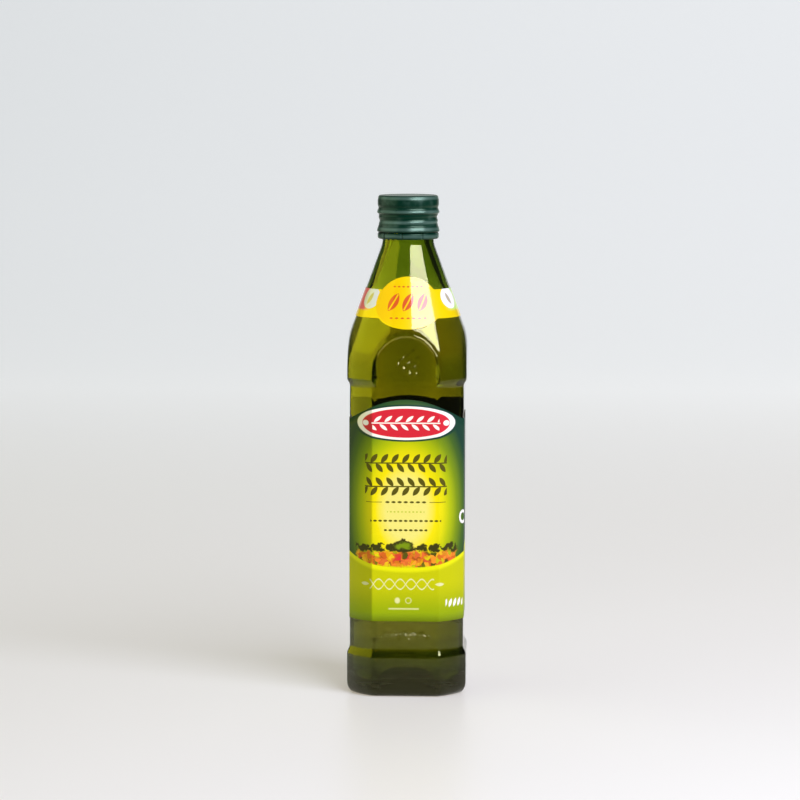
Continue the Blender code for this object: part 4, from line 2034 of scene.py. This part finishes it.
@dataclass(frozen=True)
class Room:
    """The dim room round the stage.

    Attributes:
        colour: Colour of its light.
        strength: Brightness of its light.
        bounces: How often light may pass through clear pieces.
        glossy_bounces: How often it may be mirrored.
        diffuse_bounces: How often it may be scattered.
    """

    colour: Colour = (0.93, 0.96, 1.0, 1.0)
    strength: float = 0.06
    bounces: int = 32
    glossy_bounces: int = 16
    diffuse_bounces: int = 4

    def build(self) -> None:
        """Sets the world and how its light is followed."""
        world = bpy.data.worlds.new("pale_room")
        world.use_nodes = True
        background = world.node_tree.nodes["Background"]
        background.inputs["Color"].default_value = self.colour
        background.inputs["Strength"].default_value = self.strength
        scene = bpy.context.scene
        scene.world = world
        scene.view_settings.view_transform = "Standard"
        scene.cycles.max_bounces = scene.cycles.transmission_bounces = self.bounces
        scene.cycles.glossy_bounces = self.glossy_bounces
        scene.cycles.diffuse_bounces = self.diffuse_bounces
        scene.cycles.use_denoising = True


@dataclass(frozen=True)
class PhotoCamera:
    """The camera, where the photograph was taken from.

    Attributes:
        turn: Degrees that it stands from the bottle's front towards +X.
        distance: Millimetres from the bottle's axis.
        height: Millimetres above the floor.
        pitch: Degrees that it looks down.
        pan: Degrees that it looks to the left of the bottle's axis.
        roll: Degrees that it leans.
        focal: Focal length in pixels of the square photograph.
        pixels: Width of the photograph in pixels.
        sensor: Width of the sensor in millimetres.
        reach: Metres that it sees.
    """

    turn: float = 2.0
    distance: float = 1609.0
    height: float = 320.8
    pitch: float = 6.07
    pan: float = 0.146
    roll: float = 0.09
    focal: float = 3137.0
    pixels: float = 800.0
    sensor: float = 36.0
    reach: float = 50.0

    def build(self) -> None:
        """Adds the camera and makes it the scene's."""
        lens = bpy.data.cameras.new("photo_camera")
        lens.sensor_width = self.sensor
        lens.lens = self.sensor * self.focal / self.pixels
        lens.clip_end = self.reach
        camera = bpy.data.objects.new("photo_camera", lens)
        turn = math.radians(self.turn)
        place = Vector((math.sin(turn) * self.distance, -math.cos(turn) * self.distance, self.height)) * MM
        look = Matrix.Rotation(math.radians(self.turn + self.pan), 4, "Z")
        look @= Matrix.Rotation(math.radians(90 - self.pitch), 4, "X")
        look @= Matrix.Rotation(math.radians(self.roll), 4, "Z")
        camera.matrix_world = Matrix.Translation(place) @ look
        bpy.context.scene.collection.objects.link(camera)
        bpy.context.scene.camera = camera


def main() -> None:
    """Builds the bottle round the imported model, then its stage, lights and camera."""
    logging.basicConfig(level=logging.INFO, format="%(name)s: %(message)s")
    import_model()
    PhotoCamera().build()
    Room().build()
    sheet = Stage(StageFinish()).build()
    key = Softbox("key_softbox", 39.0, 32.0, 1300.0, (1120.0, 460.0), radiance=20.0, tint=(0.77, 0.74, 1.0))
    key.build()

    low, high = millimetres("bottle_glass")
    form = BottleForm(face=high.x, lip=high.z)
    glass = ClearFinish("green_glass", (0.145, 0.215, 0.005), 7.5, refraction=1.5, ripple=0.02)
    GlassBottle(form, glass).build()
    oil = ClearFinish("golden_oil", (0.997, 0.61, 0.02), 53.0, refraction=1.47)
    OilFill(form, millimetres("olive_oil")[1].z, oil).build()

    cap_low, cap_high = millimetres("screw_cap")
    band_low, band_high = millimetres("tamper_band")
    crests = (*(cap_low.z + height for height in (1.7, 5.2, 10.6, 17.6)), band_low.z + 1.6)
    # The crests are painted lighter: partly rubbed lacquer, partly a painted highlight.
    lacquer = LacquerFinish("green_lacquer", shade(0, 47, 30), wear_and_highlight_colour=shade(126, 160, 138), crests=crests)
    cap = ScrewCap(cap_low.z, cap_high.z - cap_low.z, lacquer).build()
    band = TamperBand(band_low.z, band_high.z - band_low.z, lacquer).build()

    back = PaperFinish("label_back", shade(120, 112, 90))
    low, high = millimetres("wrap_label")
    WrapLabel(form, low.z, high.z, LabelPrint(), back).build()
    low, high = millimetres("neck_label")
    NeckSticker(form, (low.z + high.z) / 2, (high.z - low.z) / 2, StickerPrint(), back).build()

    window = -81.0, 16.0, 1700.0, (2780.0, 1660.0)
    yellow = Softbox("left_window", *window, radiance=2.5, tint=(1.0, 0.97, 0.05))
    yellow.build((cap, band, sheet), Linking.OTHERS)
    pale = Softbox("left_pale_window", *window, radiance=1.2, tint=(0.95, 1.0, 0.9))
    pale.build((cap, band, sheet), Linking.ONLY)


if __name__ == "__main__":
    main()
